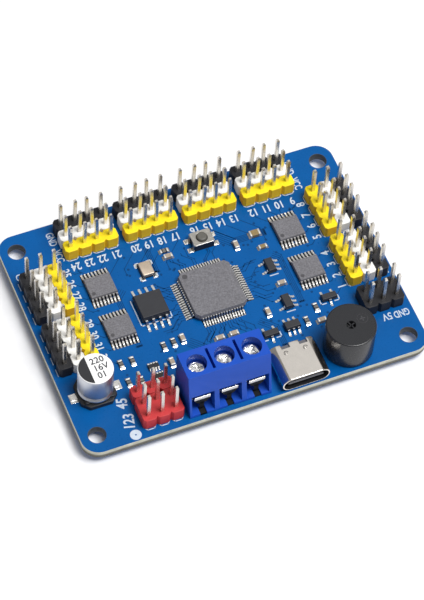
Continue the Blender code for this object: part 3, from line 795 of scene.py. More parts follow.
class SERVO_BOARD_OT_board(bpy.types.Operator):
    """Makes the laminate with its solder mask and mounting holes"""

    bl_idname = "servo_board.board"
    bl_label = "Circuit board"

    def execute(self, context):
        low, high = BOARD_LOW, BOARD_HIGH
        holes = [
            (sx * (high.x - HOLE_INSET.x), sy * (high.y - HOLE_INSET.y)) for sx in (-1, 1) for sy in (-1, 1)
        ]
        loops = [rounded(low, high, CORNER_RADIUS)] + [circle(hole, HOLE_RADIUS) for hole in holes]
        bm = bmesh.new()
        add_plate(bm, loops, low.z, high.z, 0, 0.05 * MM, 1)
        for face in bm.faces:
            if abs(face.normal.z) > 0.9:
                continue
            centre = face.calc_center_median()
            near = min((centre.xy - Vector(hole)).length for hole in holes)
            # Hole walls take the laminate painted darker as shade inside the hole.
            face.material_index = 2 if near < HOLE_RADIUS + 0.1 * MM else 1
        finish_piece(
            "board_laminate", bm, [solder_mask(), glass_laminate(), drilled_laminate()],
            stands_for=["circuit_board"],
        )
        return {"FINISHED"}


class SERVO_BOARD_OT_traces(bpy.types.Operator):
    """Draws the bare lines beside the copper traces, and the vias"""

    bl_idname = "servo_board.traces"
    bl_label = "Traces and vias"

    def execute(self, context):
        bm = bmesh.new()
        vias = bmesh.new()
        width = sizes().trace_gap
        chance = random.Random(11)

        def via(spot):
            add_round(vias, spot, sizes().via / 2, TOP, TOP + VIA_RISE, 0, 12)

        def trace(points, end=True):
            add_line(bm, points, width, TOP - COPPER, TOP + COPPER)
            if end:
                via(points[-1])

        # From each signal pin of the back strips: straight out, a diagonal, then on to its chip.
        for group in (1, 2, 3, 4):
            pins, _ = strip_pins(f"back_strip_{group}_signal")
            chip = middle(f"driver_{1 if group < 3 else 3}")
            shift = {2: 3.2, 3: -3.2}.get(group, 0.0)
            for i, pin in enumerate(pins):
                x, y = pin.x, pin.y - 1.5 * MM
                goal = chip.x + (i - 1.5) * 0.55 * MM + shift * MM
                down = (1.3 + 0.4 * (i if goal < x else 3 - i)) * MM
                run = min(abs(goal - x), 3.6 * MM)
                turn = math.copysign(run, goal - x)
                points = [(x, y), (x, y - down), (x + turn, y - down - run)]
                points.append((x + turn, chip.y + (3.3 if group in (1, 4) else 1.0 - 0.5 * i) * MM))
                trace(points)
        for side in ("left", "right"):
            sign = -1 if side == "left" else 1
            for group in (1, 2):
                pins, _ = strip_pins(f"{side}_strip_{group}_signal")
                for i, pin in enumerate(pins):
                    x, y = pin.x - sign * 1.5 * MM, pin.y
                    run = (0.7 + 0.35 * i) * MM
                    trace(
                        [
                            (x, y),
                            (x - sign * (0.6 + 0.3 * (3 - i)) * MM, y),
                            (x - sign * (0.6 + 0.3 * (3 - i)) * MM - sign * run, y - run),
                            (x - sign * (1.6 + 0.3 * (3 - i)) * MM - sign * run, y - run),
                        ]
                    )
        # A fan from each side of the processor.
        chip = middle("processor")
        for side in range(4):
            out = Vector((math.cos(side * math.pi / 2), math.sin(side * math.pi / 2), 0))
            along = Vector((-out.y, out.x, 0))
            for i in range(16):
                if chance.random() < 0.3:
                    continue
                start = chip + along * (i - 7.5) * 0.5 * MM + out * 6.6 * MM
                first = start + out * (0.3 + chance.random() * 1.2) * MM
                skew = math.copysign(0.4 + chance.random() * 1.5, i - 7.5) * MM
                second = first + out * abs(skew) + along * skew
                third = second + out * (0.3 + chance.random() * 1.8) * MM
                trace([start, first, second, third], chance.random() < 0.45)
        # Bundles that cross the board between the chips.
        for start, bend, end, count in (
            ((-7.0, -7.6), (-3.6, -11.0), (4.5, -11.0), 5),
            ((6.2, -8.0), (8.6, -10.4), (8.6, -14.6), 4),
            ((-14.2, 5.6), (-15.6, 4.2), (-15.6, -6.0), 4),
            ((5.4, 12.4), (8.2, 9.6), (14.0, 9.6), 5),
            ((-6.2, 13.0), (-7.0, 12.2), (-7.0, 7.6), 4),
            ((13.9, 4.4), (14.9, 3.4), (14.9, -7.2), 4),
        ):
            for i in range(count):
                step = 0.42 * i
                across = Vector((start[0] - bend[0], start[1] - bend[1])).orthogonal().normalized()
                spots = []
                for n, (x, y) in enumerate((start, bend, end)):
                    dx, dy = across.x * step, across.y * step
                    if n == 2:
                        dx, dy = (dx, 0) if abs(end[0] - bend[0]) < 0.01 else (0, dy)
                    spots.append(((x + dx) * MM, (y + dy) * MM))
                trace(spots)
        for _ in range(90):
            spot = ((chance.random() - 0.5) * 42 * MM, (chance.random() * 27 - 14.5) * MM)
            via(spot)
        finish_piece("trace_gaps", bm, [bare_mask()])
        finish_piece("vias", vias, [bare_mask()])
        return {"FINISHED"}


class SERVO_BOARD_OT_legend(bpy.types.Operator):
    """Prints the channel numbers, the labels, the outlines and the ring by the link header"""

    bl_idname = "servo_board.legend"
    bl_label = "Printed legend"

    def execute(self, context):
        bm = bmesh.new()
        low, high = TOP - COPPER, TOP + INK
        height, line = sizes().digit_height, sizes().ink_width

        def words(text, x, y, turn, size=1.0, **more):
            add_words(bm, text, (x, y), height * size, turn, low, high, **more)

        def ink(points, width=line):
            add_line(bm, [Vector(p) for p in points], width, low, high)

        number = 24
        for group in (1, 2, 3, 4):
            pins, _ = strip_pins(f"back_strip_{group}_signal")
            for pin in pins:
                words(str(number), pin.x, pin.y - 2.85 * MM, 180)
                number -= 1
        for group in (1, 2):
            pins, _ = strip_pins(f"right_strip_{group}_signal")
            for pin in pins:
                words(str(number), pin.x - 2.4 * MM, pin.y - 0.55 * MM, 90)
                number -= 1
        number = 25
        for group in (1, 2):
            pins, _ = strip_pins(f"left_strip_{group}_signal")
            for pin in pins:
                words(str(number), pin.x + 2.2 * MM, pin.y, -90, 0.95)
                number += 1
        pins, _ = strip_pins("left_strip_1_ground")
        words("GND", pins[0].x + 0.1 * MM, pins[0].y + 2.1 * MM, 180, 0.9, narrow=0.66)
        supply = middle("power_header")
        words("5V", supply.x - 0.1 * MM, supply.y - 3.75 * MM, 180, 0.9)
        words("GND", supply.x + 2.6 * MM, supply.y - 3.9 * MM, 180, 0.9, narrow=0.66)
        pins, _ = strip_pins("back_strip_1_power")
        words("GND", pins[0].x - 2.2 * MM, pins[0].y + 1.6 * MM, -90, 0.9, narrow=0.66)
        words("VCC", pins[0].x - 2.2 * MM, pins[0].y - 2.3 * MM, -90, 0.9, narrow=0.66)
        pins, _ = strip_pins("back_strip_4_power")
        words("GND", pins[3].x + 2.1 * MM, pins[3].y + 1.5 * MM, -90, 0.9, narrow=0.66)
        words("VCC", pins[3].x + 2.2 * MM, pins[3].y - 2.2 * MM, -90, 0.9, narrow=0.66)
        link = corners("link_header_front")[0]
        words("123", link.x - 1.75 * MM, link.y + 2.5 * MM, 75, 1.2)
        words("45", link.x - 1.6 * MM, link.y + 6.3 * MM, 75, 1.2)
        bore, rim = 0.16 * MM, 1.02 * MM
        ring = [(bore, high), (rim, high), (rim, low), (bore, low), (bore, high)]
        add_turned(bm, (link.x - 1.67 * MM, link.y - 0.37 * MM), ring, 0, 32)
        # An outline a little way round each group of strips, cell by cell.
        for group in GROUPS:
            pins, along = strip_pins(f"{group}_signal")
            outer, _ = strip_pins(f"{group}_ground")
            across = (pins[0] - outer[0]).normalized()
            reach = PITCH / 2 + 0.17 * MM
            for pin, edge in zip(pins, outer):
                for spot, way in ((pin, across), (edge, -across)):
                    ends = [spot + way * reach + along * step * MM for step in (-0.72, 0.72)]
                    if spot is pin:
                        turn = [spot + way * (reach - 0.36 * MM) + along * step * MM for step in (-1.1, 1.1)]
                        ends = [turn[0], *ends, turn[1]]
                    ink(ends, line * 0.75)
        cells, columns, _ = header_cells("link_header_front")
        low_x, low_y = min(c.x for c in cells), min(c.y for c in cells)
        reach = PITCH / 2 + 0.2 * MM
        for i in range(columns):
            x = low_x + i * PITCH
            ink([(x - 0.9 * MM, low_y - reach + 0.35 * MM), (x - 0.6 * MM, low_y - reach),
                 (x + 0.6 * MM, low_y - reach), (x + 0.9 * MM, low_y - reach + 0.35 * MM)], line * 0.8)
        # Chip outlines and corner marks.
        spot = middle("memory")
        left, front = spot.x - 2.9 * MM, spot.y - 2.95 * MM
        right = spot.x + 2.9 * MM
        ink([(left, spot.y + 2.6 * MM), (left, front), (right, front), (right, spot.y - 1.8 * MM)])
        spot = middle("crystal_base")
        for sx in (-1, 1):
            for sy in (-1, 1):
                x, y = spot.x + sx * 1.6 * MM, spot.y + sy * 1.95 * MM
                ink([(x - sx * 0.8 * MM, y), (x, y), (x, y - sy * 0.8 * MM)])
        for name in ("regulator_1", "regulator_2"):
            spot = middle(name)
            ink([(spot.x - 0.6 * MM, spot.y - 1.75 * MM), (spot.x + 0.9 * MM, spot.y - 1.75 * MM)])
        for name in ("transistor_1", "transistor_2"):
            spot = middle(name)
            for side in (-1, 1):
                x, y = spot.x + side * 1.75 * MM, spot.y - 0.85 * MM
                ink([(x, spot.y + 0.1 * MM), (x, y), (x - side * 0.9 * MM, y)])
        finish_piece("printed_legend", bm, [legend_ink()])
        return {"FINISHED"}


class SERVO_BOARD_OT_strips(bpy.types.Operator):
    """Moulds the three-colour strips and sets their pins"""

    bl_idname = "servo_board.strips"
    bl_label = "Pin strips"

    def execute(self, context):
        for group in GROUPS:
            for job in JOBS:
                name = f"{group}_{job}"
                low, high = corners(name)
                pins, along = strip_pins(name)
                bm = bmesh.new()
                outline = strip_outline(Vector((pins[0].x, pins[0].y, 0)), along, 4)
                add_plate(bm, [outline], SEAT, SEAT + PLASTIC, 0, sizes().moulding_edge, 2)
                darken_sides(bm)
                finish_piece(
                    f"{name}_moulding", bm, [strip_nylon(job), strip_side(job)], stands_for=[name],
                )
                bm = bmesh.new()
                for i, pin in enumerate(pins):
                    add_pin(bm, pin, low.z, high.z, along * LEAN[i] * MM, sizes().pin_taper)
                finish_piece(f"{name}_pins", bm, [tinned_pin()])
        return {"FINISHED"}


class SERVO_BOARD_OT_headers(bpy.types.Operator):
    """Moulds the red link headers and the black power header and sets their pins"""

    bl_idname = "servo_board.headers"
    bl_label = "Block headers"

    def execute(self, context):
        for name, job in HEADERS:
            low, high = corners(name)
            cells, columns, rows = header_cells(name)
            bm = bmesh.new()
            first = Vector((cells[0].x, cells[0].y, 0))
            outline = strip_outline(first, Vector((1, 0, 0)), columns, rows)
            add_plate(bm, [outline], SEAT, SEAT + PLASTIC, 0, sizes().moulding_edge, 2)
            darken_sides(bm)
            finish_piece(
                f"{name}_moulding", bm, [strip_nylon(job), strip_side(job)], stands_for=[name],
            )
            bm = bmesh.new()
            for i, cell in enumerate(cells):
                lean = Vector((LEAN[i % 4], LEAN[(i + 1) % 4] * 0.5, 0)) * MM * 0.6
                add_pin(bm, cell, low.z, high.z, lean, sizes().pin_taper)
            finish_piece(f"{name}_pins", bm, [tinned_pin()])
        return {"FINISHED"}


class SERVO_BOARD_OT_terminal(bpy.types.Operator):
    """Finishes the screw terminal's housing, contacts, clamps and screws"""

    bl_idname = "servo_board.terminal"
    bl_label = "Screw terminal"

    def execute(self, context):
        finish_piece(
            "terminal_body", dressed_copy("terminal_housing", 0.06 * MM), [terminal_nylon()],
            stands_for=["terminal_housing"],
        )
        for n in (1, 2, 3):
            finish_piece(
                f"terminal_contact_{n}_plate", dressed_copy(f"terminal_contact_{n}", 0.05 * MM),
                [tinned_contact()], stands_for=[f"terminal_contact_{n}"],
            )
            finish_piece(
                f"terminal_clamp_{n}_plate", dressed_copy(f"terminal_clamp_{n}", 0.05 * MM),
                [zinc_steel()], f"clamp_{n}", [f"terminal_clamp_{n}"],
            )
            finish_piece(
                f"terminal_screw_{n}_cross_head", dressed_copy(f"terminal_screw_{n}", 0.05 * MM, 40),
                [zinc_steel()], f"screw_{n}", [f"terminal_screw_{n}"], 35,
            )
            # Painted shade behind the contact's front edge: a near-black half-round mouth over a slot, where
            # there is only shade.
            low, high = corners(f"terminal_contact_{n}")
            x = (low.x + high.x) / 2
            turns = [math.pi * i / 16 for i in range(17)]
            arch = [(1.5 * MM * math.cos(a), -1.9 * MM * math.sin(a)) for a in turns]
            bm = bmesh.new()
            add_plate(bm, [arch], 0, 0.12 * MM)
            add_block(bm, (-0.42 * MM, -3.35 * MM, 0), (0.42 * MM, -1.5 * MM, 0.12 * MM))
            place = Matrix.Translation((x, low.y + 0.16 * MM, high.z - 0.3 * MM))
            upright = Matrix.Rotation(math.pi / 2, 4, "X")
            bmesh.ops.transform(bm, matrix=place @ upright, verts=bm.verts)
            # A near-black plate on the board in the notch under the mouth: painted shade.
            near, far = (x - 0.58 * MM, low.y - 0.9 * MM), (x + 0.58 * MM, low.y + 0.42 * MM)
            add_block(bm, (*near, TOP), (*far, TOP + 0.25 * MM))
            finish_piece(f"terminal_guard_{n}", bm, [black_steel()])
        return {"FINISHED"}


class SERVO_BOARD_OT_usb(bpy.types.Operator):
    """Draws the USB socket's shell, with its cut-outs, spring dimples, legs and tongue"""

    bl_idname = "servo_board.usb"
    bl_label = "USB socket"

    def execute(self, context):
        low, high = corners("usb_shell")
        wall = 0.3 * MM
        floor, roof = SEAT, high.z
        radius = (roof - floor) / 2
        centre = Vector(((low.x + high.x) / 2, 0, (roof + floor) / 2))
        reach = (high.x - low.x) / 2 - radius
        stops = (-2.1, -0.6, 1.3, 2.7)
        loop = []
        for i in range(13):
            angle = math.pi / 2 - math.pi * i / 12
            loop.append((reach + radius * math.cos(angle), radius * math.sin(angle)))
        for i in range(13):
            angle = -math.pi / 2 - math.pi * i / 12
            loop.append((-reach + radius * math.cos(angle), radius * math.sin(angle)))
        loop += [(x * MM, radius) for x in stops]
        bm = bmesh.new()
        verts = [bm.verts.new(centre + Vector((x, low.y, z))) for x, z in loop]
        edges = [bm.edges.new(pair) for pair in zip(verts, verts[1:] + verts[:1])]
        cuts = [0.0, 0.25, 6.4, (high.y - low.y) / MM]
        for start, end in zip(cuts, cuts[1:]):
            made = bmesh.ops.extrude_edge_only(bm, edges=edges)["geom"]
            moved = [g for g in made if isinstance(g, bmesh.types.BMVert)]
            bmesh.ops.translate(bm, vec=(0, (end - start) * MM, 0), verts=moved)
            edges = [g for g in made if isinstance(g, bmesh.types.BMEdge)]
        bmesh.ops.recalc_face_normals(bm, faces=bm.faces)
        notches = []
        for face in bm.faces:
            spot = face.calc_center_median() - centre
            if spot.y > low.y + 6.4 * MM and spot.z > radius * 0.9:
                if stops[0] * MM < spot.x < stops[1] * MM or stops[2] * MM < spot.x < stops[3] * MM:
                    notches.append(face)
        bmesh.ops.delete(bm, geom=notches, context="FACES")
        shell = finish_piece(
            "usb_drawn_shell", bm, [drawn_shell(), shell_inside()],
            stands_for=["usb_shell"], sharp=40,
        )
        thick = shell.modifiers.new("wall", "SOLIDIFY")
        thick.thickness = wall
        thick.offset = -1
        # The inner wall takes the near-black painted shade.
        thick.material_offset = 1
        soft = shell.modifiers.new("rim", "BEVEL")
        soft.width = 0.1 * MM
        soft.segments = 3
        soft.limit_method = "ANGLE"
        soft.angle_limit = math.radians(40)
        # Legs through the board, and the two spring dimples in the roof, each with a near-black crescent
        # beside it as painted shade.
        bm = bmesh.new()
        for side in (-1, 1):
            for y in (-1.7, 2.6):
                x = centre.x + side * (high.x - low.x - wall) / 2
                y = (low.y + high.y) / 2 + y * MM
                near, far = (x - wall / 2, y - 0.5 * MM, low.z), (x + wall / 2, y + 0.5 * MM, centre.z)
                add_block(bm, near, far, 0.04 * MM)
        for x in (-1.68, 1.96):
            spot = (centre.x + x * MM, low.y + 5.4 * MM)
            bend = 0.42 * MM
            # A near-black crescent round the dimple: painted shade.
            points = [
                (spot[0] + bend * math.cos(math.radians(a)), spot[1] + bend * math.sin(math.radians(a)))
                for a in range(20, 250, 23)
            ]
            add_line(bm, points, 0.1 * MM, roof - 0.02 * MM, roof + 0.004 * MM, 1)
            add_round(bm, spot, 0.3 * MM, roof - 0.02 * MM, roof + 0.015 * MM, 0, 20, 0.2 * MM)
        finish_piece("usb_legs_and_dimples", bm, [drawn_shell(), black_plastic()])
        bm = dressed_copy("usb_tongue", 0.05 * MM)
        low, high = corners("usb_tongue")
        for i in range(12):
            x = centre.x + (i - 5.5) * 0.5 * MM
            for side in (-1, 1):
                z = centre.z + side * 0.35 * MM
                add_block(bm, (x - 0.13 * MM, low.y + 0.15 * MM, z - 0.02 * MM),
                          (x + 0.13 * MM, low.y + 2.6 * MM, z + 0.02 * MM), 0, 1)
        add_block(bm, (centre.x - 3.35 * MM, low.y - 0.5 * MM, centre.z - 0.3 * MM),
                  (centre.x + 3.35 * MM, low.y + 0.2 * MM, centre.z + 0.3 * MM), 0.12 * MM)
        finish_piece("usb_tongue_and_contacts", bm, [tongue_plastic(), gold_flash()],
                     stands_for=["usb_tongue"])
        return {"FINISHED"}


class SERVO_BOARD_OT_buzzer(bpy.types.Operator):
    """Turns the buzzer's case, with the web in its sound hole and its polarity mark"""

    bl_idname = "servo_board.buzzer"
    bl_label = "Buzzer"

    def execute(self, context):
        low, high = corners("buzzer")
        spot = middle("buzzer")
        radius = (high.x - low.x) / 2
        top = high.z
        hole = 0.8 * MM
        bm = bmesh.new()
        profile = [
            (0.0, top - 1.1 * MM), (hole, top - 1.1 * MM), (hole, top - 0.06 * MM), (hole + 0.06 * MM, top),
            (hole + 0.2 * MM, top), (radius - 0.4 * MM, top), (radius - 0.22 * MM, top),
            (radius - 0.1 * MM, top - 0.03 * MM), (radius - 0.02 * MM, top - 0.12 * MM),
            (radius, top - 0.22 * MM), (radius, SEAT + 0.25 * MM),
            (radius - 0.3 * MM, SEAT + 0.05 * MM), (radius - 0.5 * MM, SEAT), (0.0, SEAT),
        ]
        add_turned(bm, spot, profile, 0, 96)
        bmesh.ops.recalc_face_normals(bm, faces=bm.faces)
        for angle in (20, 110):
            way = Vector((math.cos(math.radians(angle)), math.sin(math.radians(angle)), 0))
            add_line(bm, [spot - way * hole * 0.9, spot + way * hole * 0.9], 0.22 * MM,
                     top - 0.7 * MM, top - 0.15 * MM)
        for side in (-1, 1):
            add_round(bm, (spot.x + side * 2 * MM, spot.y), 0.32 * MM, low.z, SEAT + 0.2 * MM, 1, 16)
        mark = Vector((spot.x + 2.35 * MM, spot.y + 0.55 * MM, 0))
        ring = [
            (mark.x + 0.95 * MM * math.cos(a * math.pi / 12), mark.y + 0.95 * MM * math.sin(a * math.pi / 12))
            for a in range(25)
        ]
        add_line(bm, ring, 0.1 * MM, top - 0.02 * MM, top + 0.015 * MM, 2)
        for way in (Vector((1, 0, 0)), Vector((0, 1, 0))):
            arm = [mark - way * 0.45 * MM, mark + way * 0.45 * MM]
            add_line(bm, arm, 0.14 * MM, top - 0.02 * MM, top + 0.015 * MM, 2)
        finish_piece("buzzer_case", bm, [buzzer_plastic(), tinned_lead(), mark_epoxy()],
                     stands_for=["buzzer"], sharp=40)
        return {"FINISHED"}


class SERVO_BOARD_OT_capacitor(bpy.types.Operator):
    """Draws the capacitor's can with its crimp and printed top, and moulds its base"""

    bl_idname = "servo_board.capacitor"
    bl_label = "Can capacitor"

    def execute(self, context):
        low, high = corners("capacitor_can")
        spot = middle("capacitor_can")
        radius = (high.x - low.x) / 2
        top, foot = high.z, low.z
        neck = foot + 1.05 * MM
        bm = bmesh.new()
        profile = [
            (0.0, top), (radius - 0.5 * MM, top), (radius - 0.3 * MM, top),
            (radius - 0.2 * MM, top - 0.01 * MM),
            (radius - 0.1 * MM, top - 0.05 * MM), (radius - 0.03 * MM, top - 0.12 * MM),
            (radius, top - 0.25 * MM), (radius, neck + 0.5 * MM), (radius - 0.08 * MM, neck + 0.3 * MM),
            (radius - 0.26 * MM, neck + 0.1 * MM), (radius - 0.3 * MM, neck - 0.02 * MM),
            (radius - 0.24 * MM, neck - 0.14 * MM), (radius - 0.05 * MM, neck - 0.32 * MM),
            (radius, neck - 0.45 * MM), (radius, foot + 0.3 * MM), (radius - 0.12 * MM, foot + 0.12 * MM),
            (radius - 0.4 * MM, foot), (0.0, foot),
        ]
        add_turned(bm, spot, profile, 0, 96)
        bmesh.ops.recalc_face_normals(bm, faces=bm.faces)
        for face in bm.faces:
            if face.normal.z > 0.3 and face.calc_center_median().z > top - 0.3 * MM:
                face.material_index = 1
        # The black segment on the negative side, the rating and two plain digits.
        print_low, print_high = top - 0.01 * MM, top + 0.012 * MM
        edge = radius - 0.16 * MM
        start = math.acos(-0.36)
        arc = [
            (spot.x + edge * math.cos(a), spot.y + edge * math.sin(a))
            for a in (start + (2 * math.pi - 2 * start) * i / 24 for i in range(25))
        ]
        add_plate(bm, [arc], print_low, print_high, 2)
        for words, x, y in (("220", 0.72, 1.42), ("16V", 0.95, -0.1), ("01", 0.65, -1.62)):
            place = (spot.x + x * MM, spot.y + y * MM)
            add_words(bm, words, place, 1.25 * MM, 2, print_low, print_high, 3, 0.98, 0.016)
        finish_piece(
            "capacitor_drawn_can", bm, [can_aluminium(), can_lacquer(), black_print(), rating_print()],
            stands_for=["capacitor_can"], sharp=40,
        )
        low, high = corners("capacitor_base")
        half = (high.y - low.y) / 2
        bm = bmesh.new()
        cut = 1.3 * MM
        corner = [(-half, -half), (half, -half), (half, half), (-half, half)]
        outline = []
        for i, (x, y) in enumerate(corner):
            ends = [(x, y - math.copysign(cut, y)), (x - math.copysign(cut, x), y)]
            outline += ends if i in (0, 2) else ends[::-1]
        outline = [(spot.x + x, spot.y + y) for x, y in outline]
        add_plate(bm, [outline], SEAT, SEAT + 0.95 * MM, 0, 0.1 * MM)
        for sx in (-1, 1):
            for sy in (-1, 1):
                x, y = spot.x + sx * (half - 1.15 * MM), spot.y + sy * (half - 1.15 * MM)
                near, far = (x - 0.5 * MM, y - 0.5 * MM), (x + 0.5 * MM, y + 0.5 * MM)
                add_block(bm, (*near, SEAT + 0.8 * MM), (*far, SEAT + 1.5 * MM), 0.12 * MM)
        for side in (-1, 1):
            x = spot.x + side * (half + 0.55 * MM)
            add_block(
                bm, (x - 0.8 * MM, spot.y - 0.45 * MM, TOP + 0.02 * MM),
                (x + 0.45 * MM, spot.y + 0.45 * MM, SEAT + 0.22 * MM), 0.06 * MM, 1,
            )
            add_block(
                bm, (x - 0.9 * MM, spot.y - 0.95 * MM, TOP - COPPER),
                (x + 0.9 * MM, spot.y + 0.95 * MM, TOP + 0.08 * MM), 0.04 * MM, 2,
            )
        finish_piece("capacitor_moulded_base", bm, [black_plastic(), tinned_lead(), solder()],
                     stands_for=["capacitor_base"])
        return {"FINISHED"}


def add_lead(bm, pads, root, out, width, reach, foot, rise, thick, finish=1, pad=0.5 * MM, pad_finish=2):
    """A gull-wing lead from a chip's side: out, down and along its pad, with solder under it."""
    along = Vector((-out.y, out.x, 0))
    up = Vector((0, 0, 1))
    corner = [(-0.5, -0.5), (0.5, -0.5), (0.5, 0.5), (-0.5, 0.5)]
    start = root - out * 0.1 * MM + up * rise
    verts = [bm.verts.new(start + along * width * a + up * thick * b) for a, b in corner]
    face = bm.faces.new(verts)
    face.material_index = finish
    shoulder = (reach - foot) * 0.42
    stops = (
        (shoulder + 0.1 * MM, 0.0),
        (reach - foot - shoulder, -rise + thick),
        (foot, -0.35 * thick),
    )
    for forward, drop in stops:
        made = bmesh.ops.extrude_discrete_faces(bm, faces=[face])["faces"][0]
        bmesh.ops.translate(bm, vec=out * forward + up * drop, verts=list(made.verts))
        face = made
        face.material_index = finish
    for near in {f for v in face.verts for f in v.link_faces}:
        near.material_index = finish
    spot = root + out * (reach - foot * 0.4)
    size = along * (width / 2 + 0.02 * MM) + out * (foot * 0.6 + pad * 0.5)
    size = Vector((abs(size.x), abs(size.y), 0))
    spot = spot + out * (pad * 0.5 - foot * 0.1)
    add_block(
        pads,
        (spot.x - size.x, spot.y - size.y, TOP - COPPER),
        (spot.x + size.x, spot.y + size.y, TOP + 0.07 * MM),
        0.02 * MM,
        pad_finish,
        1,
    )


DRIVER_ROWS = [(side, 8, 0.65, 6.4, 0.3, 0.5, 0.55) for side in (1, 3)]
REGULATOR_ROWS = [(0, 3, 0.95, 2.8, 0.4, 0.35, 0.4), (2, 2, 1.9, 2.8, 0.4, 0.35, 0.4)]
TRANSISTOR_ROWS = [(1, 2, 1.9, 2.5, 0.4, 0.35, 0.4), (3, 1, 1.0, 2.5, 0.4, 0.35, 0.5)]
CHIPS = (
    # node, body (mm), finish, rows of leads: side, count, pitch, span, width, foot, pad past the foot
    ("processor", (10.0, 10.0), "grey", [(side, 16, 0.5, 12.0, 0.25, 0.55, 0.45) for side in range(4)]),
    *((f"driver_{n}", (5.0, 4.4), "grey", DRIVER_ROWS) for n in (1, 2, 3, 4)),
    ("memory", (5.23, 5.25), "dark", [(side, 4, 1.27, 8.0, 0.42, 0.7, 0.5) for side in (1, 3)]),
    *((f"regulator_{n}", (1.6, 2.9), "dark", REGULATOR_ROWS) for n in (1, 2)),
    *((f"transistor_{n}", (2.9, 1.3), "dark", TRANSISTOR_ROWS) for n in (1, 2)),
    ("usb_guard", (2.9, 1.6), "dark", [(side, 3, 0.95, 2.9, 0.4, 0.35, 0.4) for side in (1, 3)]),
)


class SERVO_BOARD_OT_chips(bpy.types.Operator):
    """Moulds the chips' bodies and bends their leads on to their pads"""

    bl_idname = "servo_board.chips"
    bl_label = "Chips"

    def execute(self, context):
        for name, (width, depth), colour, rows in CHIPS:
            low, high = corners(name)
            spot = middle(name)
            if name.startswith("transistor"):
                spot.y = (low.y + high.y) / 2
            width, depth = width * MM, depth * MM
            base = SEAT + 0.08 * MM
            waist = (base + high.z) / 2
            draft = 0.11 * (high.z - waist)
            bm, pads = bmesh.new(), bmesh.new()
            add_block(
                bm, (spot.x - width / 2, spot.y - depth / 2, base),
                (spot.x + width / 2, spot.y + depth / 2, high.z),
            )
            if name == "processor":
                uprights = [
                    e for e in bm.edges if abs(e.verts[0].co.z - e.verts[1].co.z) > 0.5 * MM
                ]
                round_edges(bm, uprights, 0.75 * MM, 1)
            whole = bm.verts[:] + bm.edges[:] + bm.faces[:]
            bmesh.ops.bisect_plane(bm, geom=whole, dist=1e-7, plane_co=(0, 0, waist), plane_no=(0, 0, 1))
            for vert in bm.verts:
                off = abs(vert.co.z - waist)
                if off > 1e-6:
                    for axis, half in ((0, width / 2), (1, depth / 2)):
                        gap = vert.co[axis] - spot[axis]
                        vert.co[axis] -= math.copysign(min(draft * 1.8, abs(gap)), gap)
            rim = [
                e for e in bm.edges
                if e.calc_face_angle(0) > math.radians(40) and min(v.co.z for v in e.verts) > waist + 1e-6
            ]
            round_edges(bm, rim, 0.06 * MM)
            # The first-pin mark, a smooth disc on the grey bodies: its place and radius.
            if colour == "grey":
                mark = (-3.75, 3.85, 0.5) if name == "processor" else (-1.75, -1.35, 0.36)
                add_round(bm, (spot.x + mark[0] * MM, spot.y + mark[1] * MM), mark[2] * MM,
                          high.z - 0.05 * MM, high.z + 0.006 * MM, 3, 24)
            for side, count, pitch, span, lead_width, foot, pad in rows:
                out = Vector((round(math.cos(side * math.pi / 2)), round(math.sin(side * math.pi / 2)), 0))
                along = Vector((-out.y, out.x, 0))
                half = (width if side % 2 == 0 else depth) / 2
                if colour == "grey":
                    # A window in the solder mask under a close row of leads, near black as painted shade
                    # between the leads.
                    reach = [Vector((spot.x, spot.y, 0)) + out * far + along * far_side
                             for far in (half - 0.2 * MM, (span / 2 + pad) * MM)
                             for far_side in (-(count / 2) * pitch * MM, (count / 2) * pitch * MM)]
                    ends = [(min(v[a] for v in reach), max(v[a] for v in reach)) for a in (0, 1)]
                    (left, right), (front, back) = ends
                    add_block(pads, (left, front, TOP - COPPER), (right, back, TOP + COPPER), 0, 1)
                for i in range(count):
                    root = Vector((spot.x, spot.y, TOP + 0.08 * MM)) + out * half
                    root += along * (i - (count - 1) / 2) * pitch * MM
                    add_lead(bm, pads, root, out, lead_width * MM, span * MM / 2 - half, foot * MM,
                             (high.z - TOP) * 0.45, 0.14 * MM, pad=pad * MM, pad_finish=0)
            bmesh.ops.recalc_face_normals(bm, faces=bm.faces)
            body = grey_epoxy() if colour == "grey" else dark_epoxy()
            finish_piece(
                f"{name}_package", bm, [body, tinned_lead(), solder(), mark_epoxy()], stands_for=[name],
            )
            finish_piece(f"{name}_pads", pads, [solder(), bare_laminate()])
        return {"FINISHED"}


class SERVO_BOARD_OT_crystal(bpy.types.Operator):
    """Finishes the crystal's ceramic base and metal lid"""

    bl_idname = "servo_board.crystal"
    bl_label = "Crystal"

    def execute(self, context):
        low, high = corners("crystal_base")
        bm = bmesh.new()
        add_block(bm, low, high, 0.12 * MM)
        for sx in (0, 1):
            for sy in (0, 1):
                x = (low.x, high.x)[sx] - (0.3 if sx == 0 else 0.5) * MM
                y = (low.y, high.y)[sy] - (0.3 if sy == 0 else 0.6) * MM
                far = (x + 0.8 * MM, y + 0.9 * MM, TOP + 0.08 * MM)
                add_block(bm, (x, y, TOP - COPPER), far, 0.03 * MM, 1)
        finish_piece(
            "crystal_ceramic_base", bm, [dark_epoxy(), solder()],
            stands_for=["crystal_base"],
        )
        low, high = corners("crystal_lid")
        bm = bmesh.new()
        add_plate(bm, [rounded(low, high, 0.25 * MM, 6)], low.z, high.z, 0, 0.12 * MM, 3)
        finish_piece(
            "crystal_drawn_lid", bm, [crystal_lid()], stands_for=["crystal_lid"], sharp=40
        )
        return {"FINISHED"}


